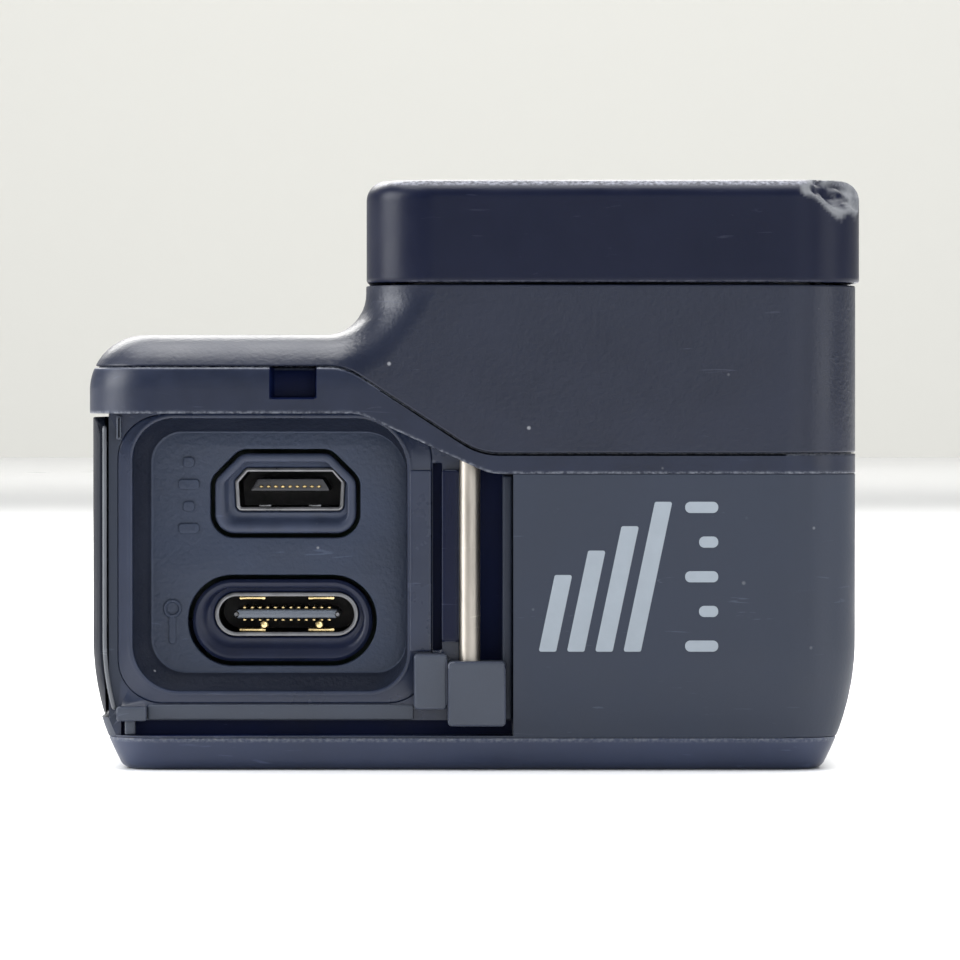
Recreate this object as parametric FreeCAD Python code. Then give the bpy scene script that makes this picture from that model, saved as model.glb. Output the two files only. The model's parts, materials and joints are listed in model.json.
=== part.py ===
import FreeCAD, Part
import math
import os

# Pocket action camera, lying on its rear screen. All sizes in mm.
# +X is the shutter-button side, -X the battery-door side,
# -Y the port side, +Y the mode-button side, +Z the way the lens looks.

V = FreeCAD.Vector

# Case outline
X_LOW = -22.3
X_HIGH = 22.1
Y_NEAR = -31.15
Y_FAR = 30.95
CORNER_R = 4.2
FRONT_Z = 25.1
REAR_EDGE_R = 15.0
REAR_EDGE_START = 7.5
FRONT_EDGE_R = 3.2
BEZEL_TOP = 1.9

# Lens block and cover
LENS_X = 8.03
LENS_Y = -16.88
BLOCK_HALF = 14.3
BLOCK_TOP = 27.95
BLOCK_BLEND = 2.4
COVER_HALF = 14.27
COVER_LOW = 28.15
COVER_TOP = 34.0
COVER_CORNER_R = 4.0
COVER_EDGE_R = 1.3
BOSS_R = 12.0
BOSS_TOP = 31.3
COVER_BORE_R = 12.4
BARREL_R = 9.2
BARREL_BORE_R = 9.5

# Lines on the side where the three case pieces meet
SHELL_LINE = [(-7.4, 23.3, 3.0), (0.3, 18.3, 4.0)]
BAND_LINE = [(-6.6, 20.56, 2.5), (0.9, 17.1, 3.0)]

# Recess on the port side, left open by the missing side door
RECESS_RIGHT = 2.25
RECESS_LOW = 2.0
RECESS_FLOOR_Y = -28.75
PLATE_BACK_Y = -25.9
TUB_DEPTH = 1.5
HDMI_X = -10.7
HDMI_Z = 16.15
USB_X = -10.9
USB_Z = 8.9
ROD_X = -0.25
ROD_Y = -29.5
ROD_R = 0.6

# Battery door
DOOR_OUT_X = -22.1
DOOR_IN_X = -21.3
DOOR_LOW = 3.2
DOOR_TOP = 20.36
DOOR_NEAR_Y = -28.9
DOOR_AXIS_X = -21.0
DOOR_AXIS_Y = 13.0
KNUCKLE_R = 1.05
PIN_R = 0.45
PIN_CLEAR = 0.05
KNUCKLES = [(6.5, 9.65), (13.85, 17.0)]
LATCH_TRAVEL = 1.8

# Battery
BATTERY_X = (-19.7, 13.9)
BATTERY_Y = (-18.1, 9.7)
BATTERY_Z = (5.3, 15.9)

# Buttons
SHUTTER_Y = 15.0
SHUTTER_Z = 11.2
SHUTTER_R = 5.0
SHUTTER_TRAVEL = 0.4
MODE_X = 4.0
MODE_Z = 11.1
MODE_TRAVEL = 0.35
BUTTON_GAP = 0.3

# Inside of the case
CAVITY_X = (-19.9, 20.2)
CAVITY_Y = (-27.4, 29.0)
DECK_Z = (3.7, 4.7)
SCREW_SPOTS = [(-17.3, -23.4), (17.3, -23.4), (-17.3, 25.4), (17.3, 25.4)]

PLACE = {
    "xy": lambda u, v, w: V(u, v, w),
    "xz": lambda u, v, w: V(u, w, v),
    "yz": lambda u, v, w: V(w, u, v),
}
NORMAL = {"xy": V(0, 0, 1), "xz": V(0, 1, 0), "yz": V(1, 0, 0)}


def outline(corners, plane, at):
    """Closed wire through (u, v, radius) corners, each rounded by its radius."""
    count = len(corners)
    cuts = []
    for i, (u, v, r) in enumerate(corners):
        here = V(u, v, 0)
        before = V(corners[i - 1][0], corners[i - 1][1], 0) - here
        after = V(corners[(i + 1) % count][0], corners[(i + 1) % count][1], 0) - here
        before.normalize()
        after.normalize()
        if r <= 0:
            cuts.append((here, None, here))
            continue
        half = before.getAngle(after) / 2
        reach = r / math.tan(half)
        middle = (before + after).normalize()
        centre = here + middle * (r / math.sin(half))
        cuts.append((here + before * reach, centre - middle * r, here + after * reach))
    edges = []
    for i, (start, mid, end) in enumerate(cuts):
        if mid is not None:
            ends = [PLACE[plane](p.x, p.y, at) for p in (start, mid, end)]
            edges.append(Part.Arc(*ends).toShape())
        following = cuts[(i + 1) % count][0]
        if (following - end).Length > 1e-6:
            a = PLACE[plane](end.x, end.y, at)
            b = PLACE[plane](following.x, following.y, at)
            edges.append(Part.LineSegment(a, b).toShape())
    return Part.Wire(edges)


def slab(corners, plane, low, high):
    """Rounded outline pulled straight from low to high along the plane's normal."""
    return Part.Face(outline(corners, plane, low)).extrude(NORMAL[plane] * (high - low))


def skin(first, second, plane, low, high):
    """Solid whose outline changes evenly from first at low to second at high."""
    return Part.makeLoft([outline(first, plane, low), outline(second, plane, high)], True, True)


def rect(u0, u1, v0, v1, r=0.0):
    return [(u0, v0, r), (u1, v0, r), (u1, v1, r), (u0, v1, r)]


def box(x0, x1, y0, y1, z0, z1):
    return Part.makeBox(x1 - x0, y1 - y0, z1 - z0, V(x0, y0, z0))


def rod(radius, start, end):
    return Part.makeCylinder(radius, (end - start).Length, start, end - start)


def ring(outer, inner, start, end):
    return rod(outer, start, end).cut(rod(inner, start, end))


def joined(shapes):
    whole = shapes[0]
    for shape in shapes[1:]:
        whole = whole.fuse(shape)
    return whole.removeSplitter()


def close_to(a, b, gap=1e-3):
    return abs(a - b) < gap


# ---------------------------------------------------------------- case

def rear_taper(z):
    """How far the side has curved inwards at this height."""
    if z >= REAR_EDGE_START:
        return 0.0
    return REAR_EDGE_R - math.sqrt(REAR_EDGE_R ** 2 - (REAR_EDGE_START - z) ** 2)


def rear_section(z):
    d = rear_taper(z)
    return outline(rect(X_LOW + d, X_HIGH - d, Y_NEAR + d, Y_FAR - d, CORNER_R - d), "xy", z)


def case_body():
    """Whole outer form of the case, before it is split into its pieces."""
    steps = 5
    rear = Part.makeLoft([rear_section(REAR_EDGE_START * i / steps) for i in range(steps + 1)], True, False)
    main = slab(rect(X_LOW, X_HIGH, Y_NEAR, Y_FAR, CORNER_R), "xy", REAR_EDGE_START, FRONT_Z)
    left = LENS_X - BLOCK_HALF
    far = LENS_Y + BLOCK_HALF
    block_corners = [
        (left, Y_NEAR, CORNER_R),
        (X_HIGH, Y_NEAR, CORNER_R),
        (X_HIGH, far, CORNER_R),
        (left, far, CORNER_R),
    ]
    block = slab(block_corners, "xy", REAR_EDGE_START, BLOCK_TOP)
    front = main.fuse(block).removeSplitter()
    inner = []
    for edge in front.Edges:
        limits = edge.BoundBox
        middle = edge.CenterOfMass
        level = close_to(limits.ZMin, FRONT_Z) and close_to(limits.ZMax, FRONT_Z)
        by_block = middle.x > left - 0.01 and middle.y < far + 0.01
        on_wall = close_to(middle.y, Y_NEAR) or close_to(middle.x, X_HIGH, 0.01)
        if level and by_block and not on_wall:
            inner.append(edge)
    front = front.makeFillet(BLOCK_BLEND, inner)
    outer = []
    for edge in front.Edges:
        limits = edge.BoundBox
        near_wall = close_to(limits.YMin, Y_NEAR) and close_to(limits.YMax, Y_NEAR)
        high_wall = close_to(limits.XMin, X_HIGH) and close_to(limits.XMax, X_HIGH)
        level = close_to(limits.ZMin, FRONT_Z) and close_to(limits.ZMax, FRONT_Z)
        edge_side = close_to(limits.XMin, X_LOW, 0.01) or close_to(limits.YMax, Y_FAR, 0.01)
        rising = limits.ZMin > FRONT_Z - 1e-3 and limits.ZMax - limits.ZMin > 1e-3
        if level and (edge_side or near_wall or high_wall):
            outer.append(edge)
        elif (near_wall or high_wall) and rising and limits.ZMax < BLOCK_TOP + 1e-3:
            outer.append(edge)
    front = front.makeFillet(FRONT_EDGE_R, outer)
    return rear.fuse(front)


def side_region(line, above):
    """Everything above or below a stepped line drawn on the port side."""
    edge = 40.0 if above else -40.0
    (x0, z0, r0), (x1, z1, r1) = line
    corners = [(-60, z0, 0), (x0, z0, r0), (x1, z1, r1), (60, z1, 0), (60, edge, 0), (-60, edge, 0)]
    return slab(corners, "xz", -60, 60)


def make_front_shell(body, rod_hole):
    shell = body.common(side_region(SHELL_LINE, True))
    shell = shell.cut(slab(rect(-20.3, 20.2, -29.2, 29.1, 2.6), "xy", 5, 23.4))
    under_block = slab(rect(-4.3, 20.2, -29.0, -4.6, 2.2), "xy", 20, 26.3)
    shell = shell.cut(under_block)
    centre = V(LENS_X, LENS_Y, 0)
    boss = rod(BOSS_R, centre + V(0, 0, BLOCK_TOP - 0.5), centre + V(0, 0, BOSS_TOP))
    shell = shell.fuse(boss)
    shell = shell.cut(rod(BARREL_BORE_R, centre + V(0, 0, 20), centre + V(0, 0, 40)))
    shell = shell.cut(ring(11.45, 10.35, centre + V(0, 0, 30.7), centre + V(0, 0, 32)))
    groove = ring(BOSS_R + 1, 11.35, centre + V(0, 0, 28.45), centre + V(0, 0, 29.55))
    shell = shell.cut(groove)
    for angle in (45, 165, 285):
        slot = box(11.35, 13.0, -2.6, 2.6, 28.45, 32)
        slot.rotate(V(0, 0, 0), V(0, 0, 1), angle)
        slot.translate(centre)
        shell = shell.cut(slot)
    shell = shell.cut(slab(rect(-5.2, 14.2, 6.8, 24.2, 2.0), "xy", 24.5, 26))
    shell = shell.cut(slab(rect(-4.2, 13.2, 7.8, 23.2, 1.0), "xy", 20, 24.6))
    shell = shell.cut(rod(0.8, V(17.2, 24.5, 20), V(17.2, 24.5, 26)))
    for x in (-15.2, -13.2, -11.2):
        shell = shell.cut(rod(0.35, V(x, 9.0, 20), V(x, 9.0, 26)))
    return shell.cut(rod_hole)


def make_mid_band(body, rod_hole):
    band = body.common(side_region(SHELL_LINE, False)).common(side_region(BAND_LINE, True))
    band = band.cut(slab(rect(-19.9, 19.9, -28.0, 28.6, 2.4), "xy", 10, 30))
    catch = box(-11.65, -9.1, Y_NEAR - 1, Y_NEAR + 1.3, 21.5, 23.15)
    return band.cut(catch).cut(rod_hole)


def plate_outline(grow=0.0):
    return rect(-20.6 - grow, -2.42 + grow, 3.8 - grow, 20.5 + grow, 2.6)


def make_main_housing(body, rod_hole):
    house = body.common(side_region(BAND_LINE, False))
    house = house.cut(box(-60, 60, -60, 60, -5, BEZEL_TOP))
    deep = slab(rect(CAVITY_X[0], CAVITY_X[1], CAVITY_Y[0], CAVITY_Y[1], 2.0), "xy", DECK_Z[1], 30)
    house = house.cut(deep)
    house = house.cut(box(3.8, 19.0, -29.3, -26, DECK_Z[1], 30))
    house = house.cut(slab(rect(-19.5, 19.5, -27.2, 27.2, 2.2), "xy", 0, DECK_Z[0]))
    house = house.cut(box(-60, RECESS_RIGHT, -60, RECESS_FLOOR_Y, RECESS_LOW, 40))
    house = house.cut(slab(plate_outline(), "xz", -29.5, PLATE_BACK_Y + 0.05))
    house = house.cut(box(-20.4, RECESS_RIGHT - 0.1, -29, -28.0, RECESS_LOW, 2.85))
    house = house.cut(box(-2.4, -1.85, -29, -27.9, 6.9, 17.7))
    house = house.cut(box(-0.9, 1.6, -29, -27.9, 6.3, 17.4))
    ear = slab(rect(-1.5, 1.8, 2.6, 6.3, 0.4), "xz", -30.75, -28.7)
    step = slab(rect(-3.45, -1.55, 3.55, 6.7, 0.3), "xz", -30.3, RECESS_FLOOR_Y)
    strip = slab(rect(-1.85, -0.9, 7.4, 17.3, 0.2), "xz", -29.4, -28.7)
    lug = slab(rect(-20.6, -18.9, 2.85, 3.65, 0.25), "xz", -29.7, -28.7)
    house = joined([house, ear, step, strip, lug])
    house = cut_battery_door_seat(house)
    house = cut_button_seats(house)
    for x, y in SCREW_SPOTS:
        post = rod(1.6, V(x, y, 2.5), V(x, y, 8.5))
        hole = rod(0.7, V(x, y, 1), V(x, y, 8.0))
        house = house.fuse(post).cut(hole)
    return house.cut(rod_hole)


def cut_battery_door_seat(house):
    far_y = DOOR_AXIS_Y + 1.4
    house = house.cut(box(-30, DOOR_IN_X + 0.2, -32, far_y, DOOR_LOW - 0.2, 40))
    boss = box(-21.1, -18.9, DOOR_AXIS_Y - 2.1, DOOR_AXIS_Y + 2.1, 5.2, 18.4)
    house = house.fuse(boss)
    for low, high in KNUCKLES:
        pocket = box(-30, -19.7, DOOR_AXIS_Y - 1.4, far_y, low - 0.3, high + 0.3)
        house = house.cut(pocket)
    low = KNUCKLES[0][1] + 0.3
    high = KNUCKLES[1][0] - 0.3
    axis = V(DOOR_AXIS_X, DOOR_AXIS_Y, 0)
    house = house.fuse(rod(KNUCKLE_R, axis + V(0, 0, low), axis + V(0, 0, high)))
    house = house.cut(door_pin())
    y0, y1 = BATTERY_Y
    z0, z1 = BATTERY_Z
    house = house.cut(slab(rect(y0 - 0.1, y1 + 0.1, z0 - 0.1, z1 + 0.1, 0.8), "yz", -22, -19))
    house = house.cut(box(-22, -19, -3.6, 8.4, 17.2, 18.6))
    return house.cut(box(-22, -20.3, -26.4, -19.4, 7.2, 16.2))


def cut_button_seats(house):
    spot = V(0, SHUTTER_Y, SHUTTER_Z)
    house = house.cut(rod(SHUTTER_R + BUTTON_GAP, spot + V(20.9, 0, 0), spot + V(30, 0, 0)))
    house = house.cut(rod(1.3, spot + V(18, 0, 0), spot + V(30, 0, 0)))
    house = house.cut(slab(pill(MODE_X, MODE_Z, 5.0 + BUTTON_GAP, 2.2 + BUTTON_GAP), "xz", 29.9, 40))
    house = house.cut(rod(1.2, V(MODE_X, 27, MODE_Z), V(MODE_X, 40, MODE_Z)))
    for i in range(3):
        z = 9.4 + 2.2 * i
        house = house.cut(slab(pill(-11.0, z, 3.6, 0.45), "xz", 28, 40))
    return house


def pill(u, v, half_long, half_wide):
    return rect(u - half_long, u + half_long, v - half_wide, v + half_wide, half_wide - 1e-3)


def make_rear_bezel(body):
    bezel = body.common(box(-60, 60, -60, 60, -1, BEZEL_TOP))
    spigot = slab(rect(-19.4, 19.4, -27.1, 27.1, 2.1), "xy", BEZEL_TOP - 0.1, 2.5)
    bezel = bezel.fuse(spigot).removeSplitter()
    bezel = bezel.cut(slab(rect(-18.9, 18.9, -26.9, 26.9, 1.6), "xy", -1, 1.3))
    bezel = bezel.cut(slab(rect(-15.6, 15.6, -24.6, 24.6, 0.8), "xy", -1, 4))
    for x, y in SCREW_SPOTS:
        bezel = bezel.cut(rod(1.15, V(x, y, 0), V(x, y, 1.9)))
        bezel = bezel.cut(rod(0.75, V(x, y, 0), V(x, y, 4)))
    return bezel


def make_case_screws():
    screws = []
    for x, y in SCREW_SPOTS:
        head = rod(1.1, V(x, y, 1.4), V(x, y, 1.9))
        shank = rod(0.7, V(x, y, 1.8), V(x, y, 8.0))
        screws.append(head.fuse(shank).removeSplitter())
    return Part.makeCompound(screws)


def make_touch_glass():
    return slab(rect(-18.8, 18.8, -26.8, 26.8, 1.5), "xy", 0.25, 1.3)


def make_rear_display():
    return slab(rect(-15.4, 15.4, -24.4, 24.4, 0.7), "xy", 1.35, 3.5)


# ---------------------------------------------------------------- ports

def hdmi_outline(grow=0.0):
    """Six-cornered pocket with soft slanted upper corners."""
    half = 4.35 + grow
    low = 13.35 - grow
    top = 18.5 + grow
    slant = 1.7
    x = -10.95
    return [
        (x - half, low, 1.4 + grow),
        (x + half, low, 1.4 + grow),
        (x + half, top - slant, 1.1),
        (x + half - slant, top, 1.1),
        (x - half + slant, top, 1.1),
        (x - half, top - slant, 1.1),
    ]


def hdmi_plug_outline(grow=0.0):
    """Mouth of the small video socket: flat lower edge and two slanted upper corners."""
    half = 3.2 + grow
    low = HDMI_Z - 1.25 - grow
    top = HDMI_Z + 1.25 + grow
    return [
        (HDMI_X - half, low, 0.25),
        (HDMI_X + half, low, 0.25),
        (HDMI_X + half, top - 0.75, 0.2),
        (HDMI_X + half - 0.75, top, 0.2),
        (HDMI_X - half + 0.75, top, 0.2),
        (HDMI_X - half, top - 0.75, 0.2),
    ]


def usb_outline(grow=0.0):
    return rect(-16.6 - grow, -5.65 + grow, 5.92 - grow, 11.2 + grow, 2.6 + grow)


def usb_plug_outline(grow=0.0):
    r = 1.28 + grow
    return rect(USB_X - 4.17 - grow, USB_X + 4.17 + grow, USB_Z - r, USB_Z + r, r - 1e-3)


def make_port_plate():
    plate = slab(plate_outline(), "xz", RECESS_FLOOR_Y, PLATE_BACK_Y)
    plate = plate.common(side_region(BAND_LINE, False))
    rim = [(-19.75, 4.5, 2.7), (-3.85, 4.5, 2.3), (-3.85, 20.3, 3.0), (-19.75, 20.3, 2.4)]
    floor = [(-18.7, 6.0, 2.0), (-3.95, 6.0, 1.7), (-3.95, 19.5, 2.4), (-18.7, 19.5, 1.8)]
    plate = plate.cut(skin(rim, floor, "xz", RECESS_FLOOR_Y - 0.001, RECESS_FLOOR_Y + TUB_DEPTH))
    plate = plate.cut(slab(hdmi_outline(), "xz", -29, -25))
    return plate.cut(slab(usb_outline(), "xz", -29, -25))


def make_hdmi_seal():
    seal = slab(hdmi_outline(-0.25), "xz", -27.1, -24.9)
    dish = skin(hdmi_outline(-0.75), hdmi_plug_outline(0.35), "xz", -27.11, -26.6)
    return seal.cut(dish).cut(slab(hdmi_plug_outline(), "xz", -28, -20))


def make_usb_seal():
    seal = slab(usb_outline(-0.25), "xz", -27.1, -24.9)
    dish = skin(usb_outline(-0.75), usb_plug_outline(0.35), "xz", -27.11, -26.6)
    return seal.cut(dish).cut(slab(usb_plug_outline(), "xz", -28, -20))


def make_hdmi_shell():
    shell = slab(hdmi_plug_outline(), "xz", -26.8, -20.0)
    return shell.cut(slab(hdmi_plug_outline(-0.25), "xz", -27, -20.3))


def make_hdmi_tongue():
    low = HDMI_Z - 0.1
    base = box(HDMI_X - 2.6, HDMI_X + 2.6, -21.3, -20.3, HDMI_Z - 0.5, HDMI_Z + 0.5)
    blade = box(HDMI_X - 2.1, HDMI_X + 2.1, -26.3, -21.2, low, low + 0.6)
    return joined([base, blade])


def make_hdmi_contacts():
    pads = []
    low = HDMI_Z - 0.22
    for i in range(9):
        x = HDMI_X + 0.42 * (i - 4)
        pads.append(box(x - 0.11, x + 0.11, -26.15, -21.35, low, low + 0.12))
    return Part.makeCompound(pads)


def make_usb_shell():
    shell = slab(usb_plug_outline(), "xz", -26.8, -20.0)
    return shell.cut(slab(usb_plug_outline(-0.28), "xz", -27, -20.3))


def make_usb_tongue():
    base = box(USB_X - 3.2, USB_X + 3.2, -21.3, -20.3, USB_Z - 0.7, USB_Z + 0.7)
    blade = slab(rect(USB_X - 3.0, USB_X + 3.0, USB_Z - 0.32, USB_Z + 0.32, 0.2), "xz", -26.2, -21.2)
    return joined([base, blade])


def make_usb_contacts():
    pads = []
    for side in (-1, 1):
        for i in range(12):
            x = USB_X + 0.45 * (i - 5.5)
            z = USB_Z + side * 0.38
            pads.append(box(x - 0.11, x + 0.11, -25.8, -21.35, z - 0.06, z + 0.06))
    return Part.makeCompound(pads)


def make_port_board():
    return box(-19.2, -1.4, -20.0, -19.2, 5.4, 19.4)


def make_door_hinge_rod():
    return rod(ROD_R, V(ROD_X, ROD_Y, 3.6), V(ROD_X, ROD_Y, 18.6))


# ---------------------------------------------------------------- lens

def cover_square(half, r):
    return rect(LENS_X - half, LENS_X + half, LENS_Y - half, LENS_Y + half, r)


def make_lens_cover():
    cover = slab(cover_square(COVER_HALF, COVER_CORNER_R), "xy", COVER_LOW, COVER_TOP)
    top = [e for e in cover.Edges if close_to(e.BoundBox.ZMin, COVER_TOP)]
    cover = cover.makeFillet(COVER_EDGE_R, top)
    centre = V(LENS_X, LENS_Y, 0)
    cover = cover.cut(rod(COVER_BORE_R, centre + V(0, 0, 20), centre + V(0, 0, 31.6)))
    cover = cover.cut(slab(cover_square(10.4, 3.0), "xy", 20, 40))
    cover = cover.cut(slab(cover_square(11.8, 3.6), "xy", 32.4, 40))
    for angle in (0, 120, 240):
        tooth = box(11.65, 12.9, -2.0, 2.0, 28.75, 29.25)
        tooth.rotate(V(0, 0, 0), V(0, 0, 1), angle)
        tooth.translate(centre)
        cover = cover.fuse(tooth)
    x = LENS_X + COVER_HALF
    y = LENS_Y - COVER_HALF
    corners = [V(x - 4.4, y - 1, 34.6), V(x + 1, y + 5.6, 34.6), V(x + 1, y - 1, 34.6)]
    low = V(x - 0.6, y + 0.3, 31.7)
    chip = [corners[0], corners[1], corners[2], low]
    faces = []
    for a, b, c in ((0, 1, 2), (0, 1, 3), (1, 2, 3), (2, 0, 3)):
        faces.append(Part.Face(Part.makePolygon([chip[a], chip[b], chip[c], chip[a]])))
    wedge = Part.makeSolid(Part.makeShell(faces))
    return cover.cut(wedge)


def make_lens_cover_glass():
    return slab(cover_square(11.75, 3.55), "xy", 32.4, 33.7)


def make_lens_cover_seal():
    centre = V(LENS_X, LENS_Y, 0)
    return ring(11.4, 10.4, centre + V(0, 0, 30.7), centre + V(0, 0, 31.4))


def make_lens_barrel():
    centre = V(LENS_X, LENS_Y, 0)
    body = rod(BARREL_R, centre + V(0, 0, 19.5), centre + V(0, 0, 30.9))
    body = body.cut(rod(8.1, centre + V(0, 0, 29.2), centre + V(0, 0, 32)))
    body = body.cut(rod(6.4, centre + V(0, 0, 22.0), centre + V(0, 0, 32)))
    return body.cut(rod(4.6, centre + V(0, 0, 18), centre + V(0, 0, 32)))


def make_lens_ring():
    centre = V(LENS_X, LENS_Y, 0)
    return ring(9.2, 7.6, centre + V(0, 0, 30.9), centre + V(0, 0, 31.25))


def make_front_lens():
    """Domed outer lens: a ball cap on a short flange, hollowed behind."""
    centre = V(LENS_X, LENS_Y, 0)
    flange = rod(8.0, centre + V(0, 0, 29.2), centre + V(0, 0, 30.3))
    ball = Part.makeSphere(13.0, centre + V(0, 0, 19.0))
    cap = ball.common(rod(7.4, centre + V(0, 0, 30.2), centre + V(0, 0, 34)))
    hollow = Part.makeSphere(9.0, centre + V(0, 0, 21.8))
    return joined([flange, cap]).cut(hollow)


def make_inner_lenses():
    """Three smaller round lenses behind the front one."""
    centre = V(LENS_X, LENS_Y, 0)
    lenses = []
    for low, high, curve in ((26.4, 28.4, 14.0), (24.0, 26.2, 11.0), (22.1, 23.7, 16.0)):
        disc = rod(6.3, centre + V(0, 0, low), centre + V(0, 0, high))
        ball = Part.makeSphere(curve, centre + V(0, 0, high - curve))
        lenses.append(disc.common(ball))
    return Part.makeCompound(lenses)


def make_image_sensor():
    return box(LENS_X - 4.0, LENS_X + 4.0, LENS_Y - 3.4, LENS_Y + 3.4, 17.7, 18.8)


def make_sensor_board():
    board = slab(cover_square(8.6, 1.0), "xy", 16.9, 17.7)
    frame = ring(8.4, 6.6, V(LENS_X, LENS_Y, 17.6), V(LENS_X, LENS_Y, 19.5))
    return joined([board, frame])


# ---------------------------------------------------------------- inside

def make_battery():
    x0, x1 = BATTERY_X
    y0, y1 = BATTERY_Y
    z0, z1 = BATTERY_Z
    pack = slab(rect(y0, y1, z0, z1, 0.7), "yz", x0, x1)
    grip = box(x0 - 0.01, x0 + 0.5, y0 + 4, y1 - 4, z0 + 1.6, z0 + 2.4)
    return pack.cut(grip)


def make_battery_bay():
    y0, y1 = BATTERY_Y
    z0, z1 = BATTERY_Z
    x1 = BATTERY_X[1]
    outer = box(-19.9, x1 + 0.9, y0 - 0.8, y1 + 0.8, DECK_Z[1], z1 + 0.7)
    room = box(-21, x1 + 0.15, y0 - 0.1, y1 + 0.1, z0 - 0.1, z1 + 0.1)
    bay = outer.cut(room)
    return bay.cut(box(x1, x1 + 2, -13.2, -4.8, 8.4, 13.2))


def make_battery_contacts():
    x1 = BATTERY_X[1]
    leaves = []
    for i in range(4):
        y = -12.0 + 2.0 * i
        leaves.append(box(x1 + 0.03, x1 + 1.2, y - 0.45, y + 0.45, 9.2, 12.4))
    return Part.makeCompound(leaves)


def make_card_reader():
    reader = box(-19.2, -5.0, -3.4, 8.2, 16.9, 18.6)
    return reader.cut(box(-20, -5.4, -3.1, 7.9, 17.3, 18.3))


def make_memory_card():
    card = [(-3.0, -19.6, 0.3), (7.8, -19.6, 0.3), (7.8, -6.2, 0.3), (7.0, -5.5, 0.3), (-3.0, -5.5, 0.3)]
    shape = [(x, y, r) for y, x, r in card]
    return slab(shape, "xy", 17.35, 18.1)


def make_main_board():
    board = slab(rect(-19.3, 19.3, -4.2, 27.4, 1.2), "xy", 20.3, 21.1)
    for x, y in SCREW_SPOTS[2:]:
        board = board.cut(rod(1.3, V(x, y, 19), V(x, y, 23)))
    return board


def make_board_shield():
    shield = slab(rect(-11.5, 8.5, 10.8, 26.2, 0.8), "xy", 18.5, 20.3)
    return shield.cut(slab(rect(-11.2, 8.2, 11.1, 25.9, 0.6), "xy", 18.8, 20.4))


def make_heat_spreader():
    plate = slab(rect(-18.6, -6.2, -3.8, 26.6, 1.0), "xy", 21.1, 21.7)
    tab = slab(rect(-18.6, -6.2, -12.0, -3.0, 1.0), "xy", 21.1, 21.7)
    return joined([plate, tab])


def make_status_window():
    return slab(rect(-5.1, 14.1, 6.9, 24.1, 1.9), "xy", 24.5, 25.05)


def make_status_display():
    return slab(rect(-4.0, 13.0, 8.0, 23.0, 0.8), "xy", 22.3, 24.45)


def make_status_light():
    return rod(0.8, V(17.2, 24.5, 23.0), V(17.2, 24.5, 25.05))


def make_microphones():
    front = slab(rect(-16.2, -10.2, 7.8, 10.2, 0.5), "xy", 22.2, 23.4)
    side = slab(rect(-15.8, -8.2, 18.0, 19.8, 0.4), "xz", 26.4, 28.4)
    return Part.makeCompound([front, side])


def make_speaker():
    body = slab(rect(-15.6, -6.4, 7.6, 15.6, 1.5), "xz", 25.2, 28.4)
    cone = slab(rect(-14.6, -7.4, 8.6, 14.6, 1.2), "xz", 27.9, 29)
    return body.cut(cone)


def make_speaker_mesh():
    return slab(rect(-15.2, -6.8, 8.2, 15.0, 1.0), "xz", 28.6, 28.95)


def make_key_board():
    return box(15.6, 16.4, 11.0, 23.4, 5.6, 16.6)


# ---------------------------------------------------------------- moving pieces

def door_pin():
    axis = V(DOOR_AXIS_X, DOOR_AXIS_Y, 0)
    return rod(PIN_R, axis + V(0, 0, KNUCKLES[0][0]), axis + V(0, 0, KNUCKLES[1][1]))


def make_battery_door(body):
    edge_y = DOOR_AXIS_Y - 1.6
    plate = slab(rect(DOOR_NEAR_Y, edge_y, DOOR_LOW, DOOR_TOP, 1.2), "yz", -23, DOOR_IN_X)
    inside = body.copy()
    inside.translate(V(X_LOW * -1 + DOOR_OUT_X, 0, 0))
    plate = plate.common(inside)
    axis = V(DOOR_AXIS_X, DOOR_AXIS_Y, 0)
    for low, high in KNUCKLES:
        knuckle = rod(KNUCKLE_R, axis + V(0, 0, low), axis + V(0, 0, high))
        arm = box(-22.05, -21.15, edge_y - 0.4, DOOR_AXIS_Y, low, high)
        arm = arm.cut(box(-21.3, -21, edge_y - 1, edge_y + 0.4, low, high))
        plate = plate.fuse(knuckle).fuse(arm)
    bore = rod(PIN_R + PIN_CLEAR, axis + V(0, 0, 5), axis + V(0, 0, 19))
    plate = plate.cut(bore)
    window = slab(rect(-25.9, -20.9, 8.3, 15.1, 0.6), "yz", -23, -21)
    return plate.cut(window).removeSplitter()


def make_battery_door_seal():
    y0, y1 = BATTERY_Y
    z0, z1 = BATTERY_Z
    outer = slab(rect(y0 + 0.4, y1 - 0.4, z0 + 0.4, z1 - 0.4, 0.9), "yz", DOOR_IN_X, -20.3)
    return outer.cut(slab(rect(y0 + 1.3, y1 - 1.3, z0 + 1.3, z1 - 1.3, 0.5), "yz", -22, -20))


def make_battery_latch():
    thumb = slab(rect(-25.7, -22.9, 8.5, 14.9, 0.5), "yz", DOOR_OUT_X, -21.2)
    for i in range(3):
        y = -25.05 + 0.75 * i
        thumb = thumb.cut(box(-23, -21.9, y - 0.12, y + 0.12, 9.3, 14.1))
    back = slab(rect(-26.0, -21.6, 7.6, 15.8, 0.5), "yz", -21.2, -20.7)
    return joined([thumb, back])


def make_shutter_button():
    spot = V(0, SHUTTER_Y, SHUTTER_Z)
    cap = rod(SHUTTER_R, spot + V(21.35, 0, 0), spot + V(22.3, 0, 0))
    rim = [e for e in cap.Edges if close_to(e.BoundBox.XMin, 22.3)]
    cap = cap.makeFillet(0.35, rim)
    cap = cap.cut(ring(2.9, 2.3, spot + V(22.05, 0, 0), spot + V(23, 0, 0)))
    stem = rod(1.0, spot + V(18.9, 0, 0), spot + V(21.4, 0, 0))
    return joined([cap, stem])


def make_record_ring():
    spot = V(0, SHUTTER_Y, SHUTTER_Z)
    return ring(2.9, 2.3, spot + V(22.05, 0, 0), spot + V(22.25, 0, 0))


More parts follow.
